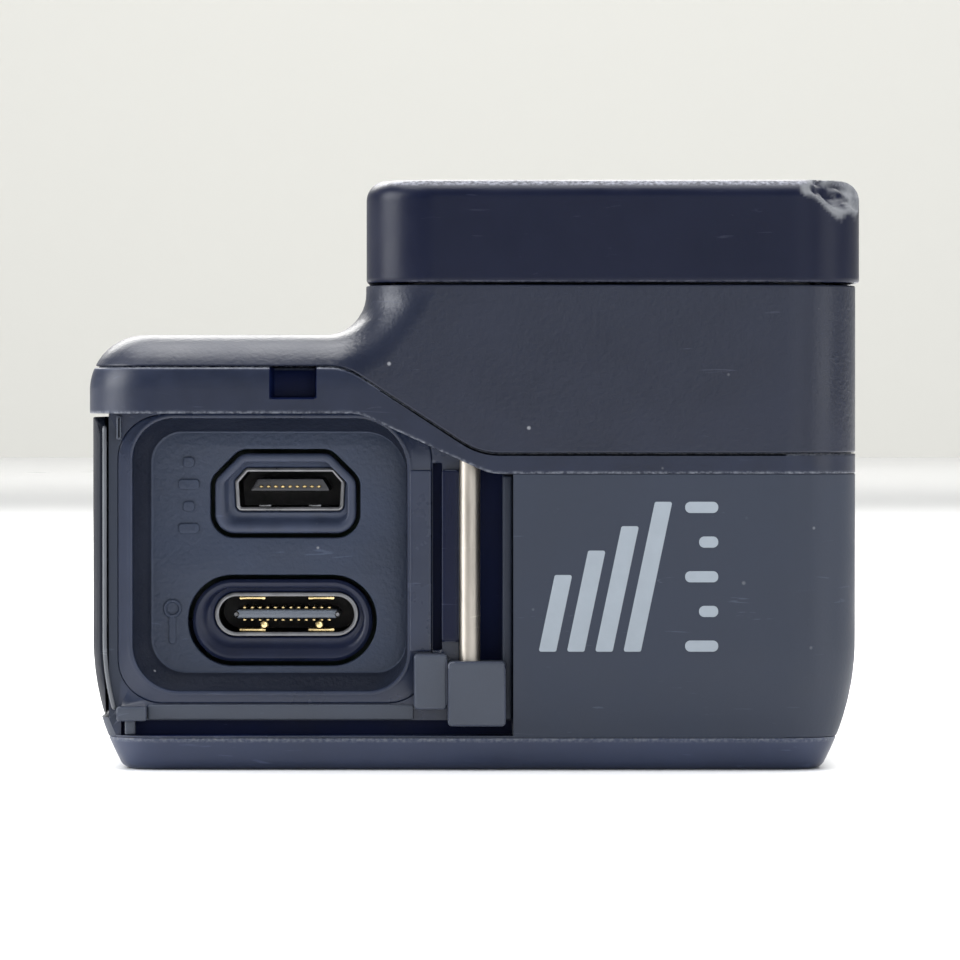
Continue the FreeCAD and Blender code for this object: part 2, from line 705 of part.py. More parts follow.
def make_shutter_switch():
    spot = V(0, SHUTTER_Y, SHUTTER_Z)
    case = box(16.4, 17.9, SHUTTER_Y - 2.6, SHUTTER_Y + 2.6, SHUTTER_Z - 2.6, SHUTTER_Z + 2.6)
    dome = Part.makeSphere(4.0, spot + V(14.4, 0, 0)).common(box(17.8, 19, 10, 20, 6, 16))
    return joined([case, dome])


def make_mode_button():
    cap = slab(pill(MODE_X, MODE_Z, 5.0, 2.2), "xz", 30.3, 31.15)
    rim = [e for e in cap.Edges if close_to(e.BoundBox.YMin, 31.15)]
    cap = cap.makeFillet(0.3, rim)
    stem = rod(0.9, V(MODE_X, 28.0, MODE_Z), V(MODE_X, 30.4, MODE_Z))
    return joined([cap, stem])


def make_mode_switch():
    case = box(MODE_X - 2.4, MODE_X + 2.4, 26.0, 27.2, MODE_Z - 2.4, MODE_Z + 2.4)
    spot = V(MODE_X, 0, MODE_Z)
    dome = Part.makeSphere(4.0, spot + V(0, 23.6, 0)).common(box(0, 8, 27.1, 28, 8, 14))
    return joined([case, dome])


def build_all():
    body = case_body()
    hinge_rod = make_door_hinge_rod()
    return {
        "front_shell": make_front_shell(body, hinge_rod),
        "mid_band": make_mid_band(body, hinge_rod),
        "main_housing": make_main_housing(body, hinge_rod),
        "rear_bezel": make_rear_bezel(body),
        "case_screws": make_case_screws(),
        "touch_glass": make_touch_glass(),
        "rear_display": make_rear_display(),
        "port_plate": make_port_plate(),
        "hdmi_seal": make_hdmi_seal(),
        "hdmi_shell": make_hdmi_shell(),
        "hdmi_tongue": make_hdmi_tongue(),
        "hdmi_contacts": make_hdmi_contacts(),
        "usb_seal": make_usb_seal(),
        "usb_shell": make_usb_shell(),
        "usb_tongue": make_usb_tongue(),
        "usb_contacts": make_usb_contacts(),
        "port_board": make_port_board(),
        "door_hinge_rod": hinge_rod,
        "lens_cover": make_lens_cover(),
        "lens_cover_glass": make_lens_cover_glass(),
        "lens_cover_seal": make_lens_cover_seal(),
        "lens_barrel": make_lens_barrel(),
        "lens_ring": make_lens_ring(),
        "front_lens": make_front_lens(),
        "inner_lenses": make_inner_lenses(),
        "image_sensor": make_image_sensor(),
        "sensor_board": make_sensor_board(),
        "battery": make_battery(),
        "battery_bay": make_battery_bay(),
        "battery_contacts": make_battery_contacts(),
        "card_reader": make_card_reader(),
        "memory_card": make_memory_card(),
        "main_board": make_main_board(),
        "board_shield": make_board_shield(),
        "heat_spreader": make_heat_spreader(),
        "status_window": make_status_window(),
        "status_display": make_status_display(),
        "status_light": make_status_light(),
        "microphones": make_microphones(),
        "speaker": make_speaker(),
        "speaker_mesh": make_speaker_mesh(),
        "key_board": make_key_board(),
        "battery_door": make_battery_door(body),
        "battery_door_seal": make_battery_door_seal(),
        "battery_door_pin": door_pin(),
        "battery_latch": make_battery_latch(),
        "shutter_button": make_shutter_button(),
        "record_ring": make_record_ring(),
        "shutter_switch": make_shutter_switch(),
        "mode_button": make_mode_button(),
        "mode_switch": make_mode_switch(),
    }


os.makedirs("parts", exist_ok=True)
for name, shape in build_all().items():
    shape.exportStep("parts/" + name + ".step")
    limits = shape.BoundBox
    print("%-18s valid %s solids %d volume %9.2f  X %7.2f %7.2f  Y %7.2f %7.2f  Z %6.2f %6.2f" % (
        name, shape.isValid(), len(shape.Solids), shape.Volume,
        limits.XMin, limits.XMax, limits.YMin, limits.YMax, limits.ZMin, limits.ZMax))
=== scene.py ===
import json
import math

import bmesh
import bpy
import numpy as np
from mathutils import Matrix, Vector


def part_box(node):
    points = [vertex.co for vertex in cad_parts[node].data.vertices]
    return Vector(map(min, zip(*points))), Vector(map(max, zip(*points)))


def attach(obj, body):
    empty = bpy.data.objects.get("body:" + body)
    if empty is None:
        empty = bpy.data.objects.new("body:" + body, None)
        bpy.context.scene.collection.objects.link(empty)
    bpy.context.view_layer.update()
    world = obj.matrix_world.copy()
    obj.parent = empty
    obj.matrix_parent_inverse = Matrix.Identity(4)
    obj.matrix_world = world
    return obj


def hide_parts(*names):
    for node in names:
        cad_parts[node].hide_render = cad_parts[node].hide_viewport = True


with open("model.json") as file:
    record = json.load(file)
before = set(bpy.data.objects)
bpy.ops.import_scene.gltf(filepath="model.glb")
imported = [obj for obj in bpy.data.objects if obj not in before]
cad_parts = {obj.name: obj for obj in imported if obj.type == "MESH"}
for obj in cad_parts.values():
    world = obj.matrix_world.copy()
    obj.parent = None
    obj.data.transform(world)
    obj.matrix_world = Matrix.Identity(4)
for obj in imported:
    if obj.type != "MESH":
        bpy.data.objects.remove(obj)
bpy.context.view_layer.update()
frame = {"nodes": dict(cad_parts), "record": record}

# A small action camera lying on its rear screen, with its port bay open.
# Lengths below are in millimetres until a mesh is made; the scene is in metres.

MM = 0.001
WELD = 1e-7            # metres; points nearer than this are one point
CAD_WELD = 5e-6        # metres; the CAD's loose triangles are joined within this
LEAST_RADIUS = 0.015   # the sharpest corner an outline keeps
HAIR = 1e-3            # left of a half-round end, so its two arcs never meet in a point
FLAT_ANGLE = 15        # degrees
body_of = {n: b for b, ns in frame["record"]["behaviour"]["bodies"].items() for n in ns}
slot_of = {s["node"]: s["material_slot"] for s in frame["record"]["subparts"]}


def span(node):
    """Lowest and highest corner of a CAD node in millimetres."""
    low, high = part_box(node)
    return np.array(low) / MM, np.array(high) / MM


# ------------------------------------------------------------ surfaces

def outline(corners, grow=0.0, arc=8, step=1.0):
    """Closed loop through rounded corners (u, v, radius), anticlockwise.

    Every edge moves outwards by grow, each corner is an arc tangent to its two edges
    with its radius changed by the same amount, and every loop made from the same
    corners has the same number of points, so loops can be skinned together."""
    c = np.array(corners, float)
    p, r = c[:, :2], c[:, 2]
    along = np.roll(p, -1, 0) - p
    length = np.hypot(along[:, 0], along[:, 1])
    d = along / length[:, None]
    before = np.roll(d, 1, 0)
    n = np.stack([d[:, 1], -d[:, 0]], 1)
    nb = np.roll(n, 1, 0)
    p = p + (n + nb) * (grow / (1 + (n * nb).sum(1)))[:, None]
    cross = before[:, 0] * d[:, 1] - before[:, 1] * d[:, 0]
    side = np.sign(cross)
    turn = np.arctan2(np.abs(cross), (before * d).sum(1))
    r = np.maximum(r + grow * side, LEAST_RADIUS)
    reach = r * np.tan(turn / 2)
    start = p - before * reach[:, None]
    left = np.stack([-before[:, 1], before[:, 0]], 1) * side[:, None]
    centre = start + left * r[:, None]
    t = np.linspace(0, 1, arc + 1)
    angle = np.arctan2(-left[:, 1], -left[:, 0])[:, None] + (turn * side)[:, None] * t
    arcs = centre[:, None] + r[:, None, None] * np.stack([np.cos(angle), np.sin(angle)], 2)
    loop = []
    for i in range(len(c)):
        loop.append(arcs[i])
        count = max(int(math.ceil(length[i] / step)), 2)
        f = np.linspace(0, 1, count + 1)[1:-1, None]
        loop.append(arcs[i][-1] * (1 - f) + arcs[(i + 1) % len(c)][0] * f)
    return np.concatenate(loop)


def rect(u0, u1, v0, v1, r):
    """Corners of a rounded rectangle from (u0, v0) to (u1, v1)."""
    return [(u0, v0, r), (u1, v0, r), (u1, v1, r), (u0, v1, r)]


def pill(u, v, half_long, half_wide):
    """Corners of a rectangle round (u, v) with half-round ends."""
    return rect(u - half_long, u + half_long, v - half_wide, v + half_wide, half_wide - HAIR)


def put(loop, height, plane):
    """A flat loop (u, v) laid in the xy, xz or yz plane at this height."""
    u, v = loop[:, 0], loop[:, 1]
    w = np.broadcast_to(np.asarray(height, float), u.shape)
    order = {"xy": (u, v, w), "xz": (u, w, v), "yz": (w, u, v)}[plane]
    return np.stack(order, 1)


def quarter(radius, count, first, last):
    """Arc points radius*(cos, sin) from the first to the last angle in degrees."""
    a = np.radians(np.linspace(first, last, count))
    return np.stack([radius * np.cos(a), radius * np.sin(a)], 1)


def grid_faces(rows, cols, wrap_rows, wrap_cols):
    """Quads of a grid, optionally joined round in either direction."""
    i = np.arange(rows if wrap_rows else rows - 1)[:, None]
    j = np.arange(cols if wrap_cols else cols - 1)[None, :]
    a = i * cols + j
    b = i * cols + (j + 1) % cols
    c = ((i + 1) % rows) * cols + (j + 1) % cols
    d = ((i + 1) % rows) * cols + j
    return np.stack(np.broadcast_arrays(a, b, c, d), -1).reshape(-1, 4)


def mesh_piece(name, points, faces, body, finish, replaces=(), smooth=32.0, worn=None, rim=None):
    """Mesh object from millimetre points and face lists, with outward normals. Edges
    sharper than smooth degrees stay crisp. worn and rim are rules that give every
    point a mask value from its place."""
    mesh = bpy.data.meshes.new(name)
    mesh.from_pydata((np.asarray(points, float) * MM).tolist(), [], [list(map(int, f)) for f in faces])
    work = bmesh.new()
    work.from_mesh(mesh)
    bmesh.ops.remove_doubles(work, verts=work.verts, dist=WELD)
    bmesh.ops.recalc_face_normals(work, faces=work.faces)
    work.to_mesh(mesh)
    work.free()
    for label, rule in (("worn", worn), ("rim", rim)):
        if rule is not None:
            co = np.zeros(len(mesh.vertices) * 3)
            mesh.vertices.foreach_get("co", co)
            layer = mesh.attributes.new(label, "FLOAT", "POINT")
            layer.data.foreach_set("value", rule(co.reshape(-1, 3) / MM).astype(np.float32))
    mesh.polygons.foreach_set("use_smooth", np.ones(len(mesh.polygons), bool))
    mesh.set_sharp_from_angle(angle=math.radians(smooth))
    mesh.materials.append(finish)
    piece = bpy.data.objects.new(name, mesh)
    bpy.context.scene.collection.objects.link(piece)
    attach(piece, body)
    if replaces:
        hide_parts(*replaces)
    return piece


def skinned(name, rings, body, finish, replaces=(), closed=False, capped=True, smooth=32.0, worn=None,
            rim=None):
    """Skin over a stack of equal loops. closed joins the last loop to the first,
    capped closes both ends with a flat face."""
    rings = np.asarray(rings, float)
    rows, cols = rings.shape[:2]
    faces = grid_faces(rows, cols, closed, True).tolist()
    if capped and not closed:
        faces.append(list(range(cols))[::-1])
        faces.append(list(range((rows - 1) * cols, rows * cols)))
    return mesh_piece(name, rings.reshape(-1, 3), faces, body, finish, replaces, smooth, worn, rim)


def carried(name, corners, profile, plane, body, finish, replaces=(), closed=False, arc=8, step=1.0,
            smooth=32.0, shape=None, worn=None, rim=None):
    """Profile carried round an outline: at each profile point (grow, height) the outline
    is pushed out by grow and laid at that height. shape may move the finished points."""
    rings = np.array([put(outline(corners, g, arc, step), h, plane) for g, h in profile])
    if shape is not None:
        rings = shape(rings)
    return skinned(name, rings, body, finish, replaces, closed, True, smooth, worn, rim)


def slab_profile(low, high, ease=0.12, count=4):
    """Profile of a plate from low to high whose two rims are rounded by ease."""
    bend = quarter(ease, count, -90, 0)
    under = [(x - ease, low + ease + y) for x, y in bend]
    over = [(x - ease, high - ease - y) for x, y in bend[::-1]]
    guard = 0.12  # a ring just inside each rim, so the flat faces stay flat
    return [(-ease - guard, low)] + under + over + [(-ease - guard, high)]


def plate(name, corners, low, high, plane, body, finish, replaces=(), ease=0.12, arc=8, step=1.0):
    """Flat piece with this outline from low to high, with both rims eased."""
    return carried(name, corners, slab_profile(low, high, ease), plane, body, finish, replaces, arc=arc,
                   step=step)


def turned(name, profile, centre, axis, body, finish, replaces=(), count=96, closed=False, smooth=32.0):
    """Profile (radius, height) turned about an axis through centre; a radius of
    zero ends in a pole."""
    prof = np.array(profile, float)
    a = np.linspace(0, 2 * math.pi, count, endpoint=False)
    r, h = prof[:, 0][:, None], prof[:, 1][:, None] + 0 * a
    c, s = r * np.cos(a), r * np.sin(a)
    local = {"z": (c, s, h), "x": (h, c, s), "y": (s, h, c)}[axis]
    rings = np.stack(local, 2) + np.array(centre, float)
    rows = len(prof)
    faces = grid_faces(rows, count, closed, True).tolist()
    if not closed:
        faces.append(list(range(count))[::-1])
        faces.append(list(range((rows - 1) * count, rows * count)))
    return mesh_piece(name, rings.reshape(-1, 3), faces, body, finish, replaces, smooth)


def repeated(name, unit, faces, shifts, body, finish, replaces=(), smooth=32.0):
    """One small shape repeated at every shift."""
    unit = np.asarray(unit, float)
    shifts = np.asarray(shifts, float)
    points = (unit[None] + shifts[:, None]).reshape(-1, 3)
    all_faces = (np.asarray(faces)[None] + (np.arange(len(shifts)) * len(unit))[:, None, None]).reshape(-1, 4)
    return mesh_piece(name, points, all_faces.tolist(), body, finish, replaces, smooth)


def pad_unit(wide, deep, tall, ease):
    """Small bar with eased long edges: an eight-sided section carried along Y, drawn in
    at both ends, with three quads closing each end."""
    x, z, e = wide / 2, tall / 2, ease
    section = np.array([(-x + e, -z), (x - e, -z), (x, -z + e), (x, z - e), (x - e, z), (-x + e, z),
                        (-x, z - e), (-x, -z + e)])
    drawn_in = section * 0.6
    rows = [(drawn_in, 0.0), (section, ease), (section, deep - ease), (drawn_in, deep)]
    points = np.concatenate([np.stack([a[:, 0], np.full(8, y), a[:, 1]], 1) for a, y in rows])
    last = 24  # first point of the far end
    faces = grid_faces(4, 8, False, True).tolist()
    faces += [[7, 6, 5, 4], [7, 4, 3, 0], [0, 3, 2, 1]]
    faces += [[last + i for i in quad] for quad in ((4, 5, 6, 7), (0, 3, 4, 7), (1, 2, 3, 0))]
    return points, faces


def eased(node, finish, width=0.10, angle=38.0, crisp=None):
    """Copy of a CAD piece with its doubled corners merged and its sharp edges rounded,
    apart from the edges whose middle lies where crisp says. Faces that turn by more than
    FLAT_ANGLE are shaded apart, so flat walls stay flat beside the rounded edges."""
    mesh = frame["nodes"][node].data.copy()
    work = bmesh.new()
    work.from_mesh(mesh)
    bmesh.ops.remove_doubles(work, verts=work.verts, dist=CAD_WELD)
    work.to_mesh(mesh)
    fold = np.array([e.calc_face_angle(0.0) for e in work.edges])
    middle = np.array([(e.verts[0].co + e.verts[1].co)[:] for e in work.edges]) / (2 * MM)
    work.free()
    weight = (fold > math.radians(angle)).astype(np.float32)
    if crisp is not None:
        weight[crisp(middle)] = 0.0
    mesh.attributes.new("bevel_weight_edge", "FLOAT", "EDGE").data.foreach_set("value", weight)
    rough_piece = bpy.data.objects.new(node + "_blank", mesh)
    bpy.context.scene.collection.objects.link(rough_piece)
    edge = rough_piece.modifiers.new("eased_edges", "BEVEL")
    edge.width = width * MM
    edge.segments = 2
    edge.limit_method = "WEIGHT"
    edge.use_clamp_overlap = False
    bpy.context.view_layer.update()
    finished = bpy.data.meshes.new_from_object(rough_piece.evaluated_get(bpy.context.evaluated_depsgraph_get()))
    bpy.data.objects.remove(rough_piece)
    finished.name = node + "_eased"
    finished.polygons.foreach_set("use_smooth", np.ones(len(finished.polygons), bool))
    finished.set_sharp_from_angle(angle=math.radians(FLAT_ANGLE))
    finished.materials.clear()
    finished.materials.append(finish)
    piece = bpy.data.objects.new(node + "_eased", finished)
    bpy.context.scene.collection.objects.link(piece)
    even = piece.modifiers.new("even_faces", "WEIGHTED_NORMAL")
    even.keep_sharp = True
    even.weight = 100
    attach(piece, body_of[node])
    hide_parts(node)
    return piece


def near(m, x, y, z, reach):
    """Whether points m lie within reach (per axis) of a place; None leaves an axis free."""
    inside = np.ones(len(m), bool)
    for axis, (centre, half) in enumerate(zip((x, y, z), reach)):
        if centre is not None:
            inside &= np.abs(m[:, axis] - centre) < half
    return inside


# ------------------------------------------------------------ finishes

DUST_TONE = (0.17, 0.175, 0.19)


def node_maker(material):
    """Two helpers for a material's node tree. add makes a node with its settings and
    inputs, and fill gives one input a value, or a link when the value is an output."""
    tree = material.node_tree

    def fill(socket, value):
        if isinstance(value, bpy.types.NodeSocket):
            tree.links.new(value, socket)
        else:
            socket.default_value = value

    def add(kind, values=None, **settings):
        node = tree.nodes.new(kind)
        for key, value in settings.items():
            setattr(node, key, value)
        for key, value in (values or {}).items():
            fill(node.inputs[key], value)
        return node

    return add, fill


def finish_of(name, colour, rough, tint=0.25, tone_scale=180.0, grain=2600.0, grain_depth=0.02,
              rough_spread=0.08, metal=0.0, specular=0.5, dust=0.0, dust_scale=900.0,
              scuffs=0.0, edge_wear=0.0, streak=None, worn=None, rim=None, transmission=0.0, ior=1.5):
    """Moulded or metal finish: a base colour that drifts slightly over the piece, a fine
    grain in the bump, uneven gloss, and dust specks, hairline scuffs and pale worn
    edges where asked. rim and worn are the tones of a piece's own two masks of the same
    names; the rim tone paints a speckled highlight along edges, together with rubbed paint on the cover and
    dust on the bezel. All patterns sit in object coordinates."""
    material = bpy.data.materials.new(name)
    material.use_nodes = True
    add, fill = node_maker(material)
    shader = material.node_tree.nodes["Principled BSDF"]
    for key, value in (("Metallic", metal), ("Specular IOR Level", specular), ("IOR", ior),
                       ("Transmission Weight", transmission)):
        shader.inputs[key].default_value = value
    place = add("ShaderNodeTexCoord").outputs["Object"]
    source = place
    if streak is not None:
        source = add("ShaderNodeMapping", {"Vector": place, "Scale": streak}).outputs["Vector"]

    def noise(scale, detail, over=place, **more):
        """Cloudy pattern between zero and one."""
        return add("ShaderNodeTexNoise", {"Vector": over, "Scale": scale, "Detail": detail,
                                          **more}).outputs["Fac"]

    def ramp(value, start, end, at_start=0.0, at_end=1.0):
        """The value spread from start..end to at_start..at_end, and held beyond them."""
        return add("ShaderNodeMapRange", {"Value": value, "From Min": start, "From Max": end,
                                          "To Min": at_start, "To Max": at_end}).outputs["Result"]

    def product(a, b):
        return add("ShaderNodeMath", {0: a, 1: b}, operation="MULTIPLY").outputs[0]

    def paler(factor, lift):
        """The base colour times factor, plus lift."""
        return tuple(min(c * factor + lift, 1) for c in colour)

    drift = noise(tone_scale, 5.0, source, Roughness=0.6)
    tones = add("ShaderNodeValToRGB", {"Fac": drift})
    for stop, position, factor in zip(tones.color_ramp.elements, (0.3, 0.7), (1 - tint, 1 + tint)):
        stop.position = position
        stop.color = (*(min(c * factor, 1.0) for c in colour), 1)
    colour_out = tones.outputs["Color"]
    rough_out = ramp(drift, 0.3, 0.7, max(rough - rough_spread, 0.02), min(rough + rough_spread, 1.0))

    def blend_in(mask, tone, roughness):
        """Lay another tone and gloss over the surface where the mask is high."""
        nonlocal colour_out, rough_out
        colour_out = add("ShaderNodeMix", {"Factor": mask, "A": colour_out, "B": (*tone, 1)},
                         data_type="RGBA").outputs["Result"]
        rough_out = add("ShaderNodeMix", {"Factor": mask, "A": rough_out, "B": roughness},
                        data_type="FLOAT").outputs["Result"]

    if dust:
        specks = add("ShaderNodeTexVoronoi", {"Vector": place, "Scale": dust_scale},
                     feature="F1").outputs["Distance"]
        patches = noise(dust_scale * 0.45, 3.0)
        thick = ramp(patches, 0.62 - 0.1 * dust, 0.72 - 0.1 * dust)
        blend_in(product(ramp(specks, 0.060, 0.025), thick), DUST_TONE, 0.9)
    if scuffs:
        hair = add("ShaderNodeMapping", {"Vector": place, "Scale": (1.0, 1.0, 9.0),
                                         "Rotation": (0.5, 0.9, 0.3)})
        line = noise(330.0, 4.0, hair.outputs["Vector"], Distortion=1.2)
        blend_in(ramp(line, 0.70 - 0.06 * scuffs, 0.76 - 0.06 * scuffs, 0.0, 0.42), paler(2.2, 0.03),
                 min(rough + 0.2, 1))
    if edge_wear:
        pointed = add("ShaderNodeNewGeometry").outputs["Pointiness"]
        blend_in(product(ramp(pointed, 0.53, 0.62, 0.0, edge_wear), noise(1400.0, 4.0)), paler(3.0, 0.06),
                 min(rough + 0.1, 1))
    # painted highlight: the rim tone laid in specks along the piece's rim mask
    if rim is not None:
        edge = add("ShaderNodeAttribute", attribute_name="rim").outputs["Fac"]
        blend_in(product(edge, ramp(noise(4800.0, 4.0), 0.38, 0.72)), rim, min(rough + 0.1, 1))
    if worn is not None:
        blend_in(add("ShaderNodeAttribute", attribute_name="worn").outputs["Fac"], worn, 0.85)
    bump = add("ShaderNodeBump", {"Height": noise(grain, 3.0, source), "Strength": 0.6,
                                  "Distance": grain_depth * MM})
    fill(shader.inputs["Normal"], bump.outputs["Normal"])
    fill(shader.inputs["Base Color"], colour_out)
    fill(shader.inputs["Roughness"], rough_out)
    return material


# Finishes are named for the piece or the stuff they are on.
shell_finish = finish_of("shell_satin_plastic", (0.0040, 0.0068, 0.0185), 0.38, tint=0.10, specular=0.34,
                         grain=3800, grain_depth=0.035, dust=2.0, dust_scale=430, scuffs=0.15)
# the rim tone is rubbed paint and a painted highlight along the cover's top edge
cover_finish = finish_of("cover_satin_plastic", (0.0020, 0.0038, 0.0150), 0.36, tint=0.10, specular=0.17,
                         rim=(0.19, 0.195, 0.235), grain=3000, grain_depth=0.010, dust=1.0, dust_scale=420,
                         scuffs=0.25, edge_wear=0.5, worn=(0.135, 0.14, 0.15))
# the rim tone is a painted highlight along the band's two seams; scuffs and edge wear are real
band_finish = finish_of("band_rubbed_plastic_painted_seam_highlight", (0.0045, 0.0080, 0.0215), 0.38, tint=0.20, specular=0.3,
                        rim=(0.13, 0.14, 0.165), tone_scale=320, grain=2200, grain_depth=0.012, dust=0.9,
                        dust_scale=600, scuffs=0.6, edge_wear=0.6)
housing_finish = finish_of("housing_soft_plastic", (0.0160, 0.0215, 0.0360), 0.50, tint=0.07, specular=0.30,
                           grain=4200, grain_depth=0.012, dust=1.6, dust_scale=430, scuffs=0.2)
# the rim tone is dust and a painted highlight along the bezel's upper edge
bezel_finish = finish_of("bezel_satin_plastic", (0.018, 0.026, 0.056), 0.40, tint=0.12, specular=0.38,
                         rim=(0.11, 0.12, 0.14), grain=2600, grain_depth=0.008, dust=0.8, dust_scale=520,
                         scuffs=0.5, edge_wear=0.5)
port_finish = finish_of("port_tub_grained_plastic", (0.020, 0.028, 0.050), 0.52, tint=0.12, specular=0.3,
                        grain=3600, grain_depth=0.09, dust=1.0, dust_scale=560, scuffs=0.2)
port_gloss = finish_of("port_rim_plastic", (0.013, 0.019, 0.040), 0.30, tint=0.15, specular=0.38, grain=1800,
                       grain_depth=0.006, dust=0.9, dust_scale=620, scuffs=0.4)
sleeve_finish = finish_of("socket_sleeve_rubber", (0.026, 0.034, 0.060), 0.44, tint=0.2, specular=0.35,
                          tone_scale=500, grain=3000, grain_depth=0.02, dust=1.1, dust_scale=800, scuffs=0.6)
socket_steel = finish_of("socket_steel", (0.15, 0.15, 0.155), 0.34, tint=0.25, tone_scale=700, grain=2400,
                         grain_depth=0.006, metal=1.0)
sleeve_dark = finish_of("socket_sleeve_dark_rubber", (0.005, 0.008, 0.024), 0.40, tint=0.2, specular=0.3,
                        tone_scale=500, grain=3000, grain_depth=0.02, dust=1.0, dust_scale=800, scuffs=0.5)
# painted shade: a near-black tone for faces deep in recesses, where shade falls
recess_painted_shade = finish_of("deep_recess_painted_shade", (0.0024, 0.0055, 0.028), 0.5, tint=0.2, specular=0.08,
                        grain=2400, grain_depth=0.01, scuffs=0.2)
# painted shade: a darker tone for the tub's sloping walls, where the bay's overhang shades them, with dust
# specks
tub_wall_painted_shade = finish_of("tub_slope_painted_shade", (0.0050, 0.0075, 0.0165), 0.5, tint=0.12, specular=0.25,
                         grain=3600, grain_depth=0.06, dust=1.2, dust_scale=620)
strip_finish = finish_of("recess_strip_plastic", (0.002, 0.004, 0.018), 0.30, tint=0.2, specular=0.16,
                         grain=1800, grain_depth=0.006, streak=(1.0, 1.0, 0.15), scuffs=0.5)
block_finish = finish_of("block_satin_plastic", (0.032, 0.039, 0.056), 0.44, tint=0.10, specular=0.4,
                         grain=3200, grain_depth=0.012, dust=0.5, dust_scale=600, scuffs=0.4)
# painted shade: the socket's own steel made darker where it lies inside the socket
inner_steel_painted_shade = finish_of("socket_steel_with_painted_shade", (0.035, 0.034, 0.034), 0.42, tint=0.4, tone_scale=900, grain=2400,
                       grain_depth=0.006, metal=1.0)
# painted highlight: the pale colour of the door's edge bead stands in for light on that edge
door_edge_painted_highlight = finish_of("door_edge_painted_highlight_plastic", (0.075, 0.08, 0.09), 0.36, tint=0.15, grain=2400,
                            grain_depth=0.006, scuffs=0.4)
tongue_pale = finish_of("socket_tongue_edge", (0.10, 0.115, 0.14), 0.3, tint=0.2, grain=2400, grain_depth=0.006)
socket_plastic = finish_of("socket_black_plastic", (0.010, 0.010, 0.013), 0.30, tint=0.2, grain=2400,
                           grain_depth=0.006)
contact_gold = finish_of("contact_gold", (0.72, 0.55, 0.27), 0.24, tint=0.2, tone_scale=900, grain=3000,
                         grain_depth=0.004, metal=1.0)
rod_steel = finish_of("rod_brushed_steel", (0.34, 0.31, 0.27), 0.42, tint=0.22, tone_scale=900, grain=5200,
                      grain_depth=0.01, metal=1.0, streak=(1.0, 1.0, 0.12), scuffs=0.6)
door_finish = finish_of("door_soft_plastic", (0.0040, 0.0055, 0.0105), 0.52, tint=0.1, specular=0.13,
                        grain=4200, grain_depth=0.012, dust=0.5, scuffs=0.3)
glass_front = finish_of("clear_cover_glass", (0.93, 0.96, 0.97), 0.03, tint=0.01, grain=300, grain_depth=0.0003,
                        rough_spread=0.02, transmission=1.0, ior=1.17)
glass_dark = finish_of("dark_screen_glass", (0.008, 0.009, 0.012), 0.07, tint=0.2, tone_scale=90, grain=200,
                       grain_depth=0.0006, rough_spread=0.04, specular=0.28, dust=0.4, dust_scale=300)
lens_glass = finish_of("coated_lens_glass", (0.10, 0.12, 0.22), 0.02, tint=0.05, grain=300, grain_depth=0.0002,
                       rough_spread=0.01, transmission=1.0, ior=1.28)
barrel_finish = finish_of("barrel_black", (0.006, 0.006, 0.008), 0.5, tint=0.2, grain=2600, grain_depth=0.01)
seal_rubber = finish_of("seal_rubber", (0.014, 0.014, 0.016), 0.6, tint=0.15, grain=2600, grain_depth=0.015)
button_finish = finish_of("button_satin_plastic", (0.014, 0.019, 0.034), 0.36, tint=0.1, specular=0.35,
                          grain=2600, grain_depth=0.01, scuffs=0.4, edge_wear=0.6)
red_finish = finish_of("record_red_plastic", (0.45, 0.02, 0.02), 0.32, tint=0.15, grain=1800, grain_depth=0.006)
print_grey = finish_of("printed_grey_ink", (0.215, 0.245, 0.275), 0.55, tint=0.05, tone_scale=700, grain=4200,
                       grain_depth=0.012, dust=0.3)
board_green = finish_of("circuit_board_lacquer", (0.012, 0.075, 0.03), 0.35, tint=0.3, tone_scale=700,
                        grain=1500, grain_depth=0.02)
can_steel = finish_of("pressed_steel", (0.5, 0.5, 0.5), 0.3, tint=0.12, grain=2400, grain_depth=0.006,
                      metal=1.0)
wrap_blue = finish_of("battery_wrap", (0.02, 0.05, 0.14), 0.4, tint=0.15, grain=1600, grain_depth=0.008)
plastic_black = finish_of("inner_black_plastic", (0.014, 0.014, 0.015), 0.5, tint=0.2, grain=2200,
                          grain_depth=0.01)
spread_metal = finish_of("spreader_metal", (0.62, 0.62, 0.64), 0.35, tint=0.1, grain=2600, grain_depth=0.008,
                         metal=1.0)
mesh_metal = finish_of("speaker_mesh_metal", (0.12, 0.12, 0.13), 0.4, tint=0.2, grain=2600, grain_depth=0.04,
                       metal=0.8)
ring_black = finish_of("lens_ring_anodised", (0.012, 0.012, 0.014), 0.3, tint=0.1, grain=2600,
                       grain_depth=0.004, metal=0.9)


# ------------------------------------------------------------ case

case_low, case_high = span("mid_band")
CASE = rect(case_low[0], case_high[0], case_low[1], case_high[1], 4.2)
FRONT_Z = 25.1
FRONT_EDGE_R = 3.2
BEZEL_TOP = 1.9
BAY_LEFT, BAY_RIGHT = -20.7, 2.24
CAP_BACK_Y = -28.55    # the caps in the bay end just inside its floor
TAPER_R, TAPER_TOP = 15.0, 7.5


def loop_with(corners, splits, grow=0.0, arc=8):
    """Outline whose straight edges are cut into a given number of parts."""
    base = outline(corners, grow, arc, 1e6)
    size = arc + 1
    kept = []
    total = len(corners)
    for i in range(total):
        first = base[i * (size + 1):i * (size + 1) + size]
        nxt = base[((i + 1) % total) * (size + 1)]
        f = np.linspace(0, 1, splits[i] + 1)[1:-1, None]
        kept += [first, first[-1] * (1 - f) + nxt * f]
    return np.concatenate(kept)


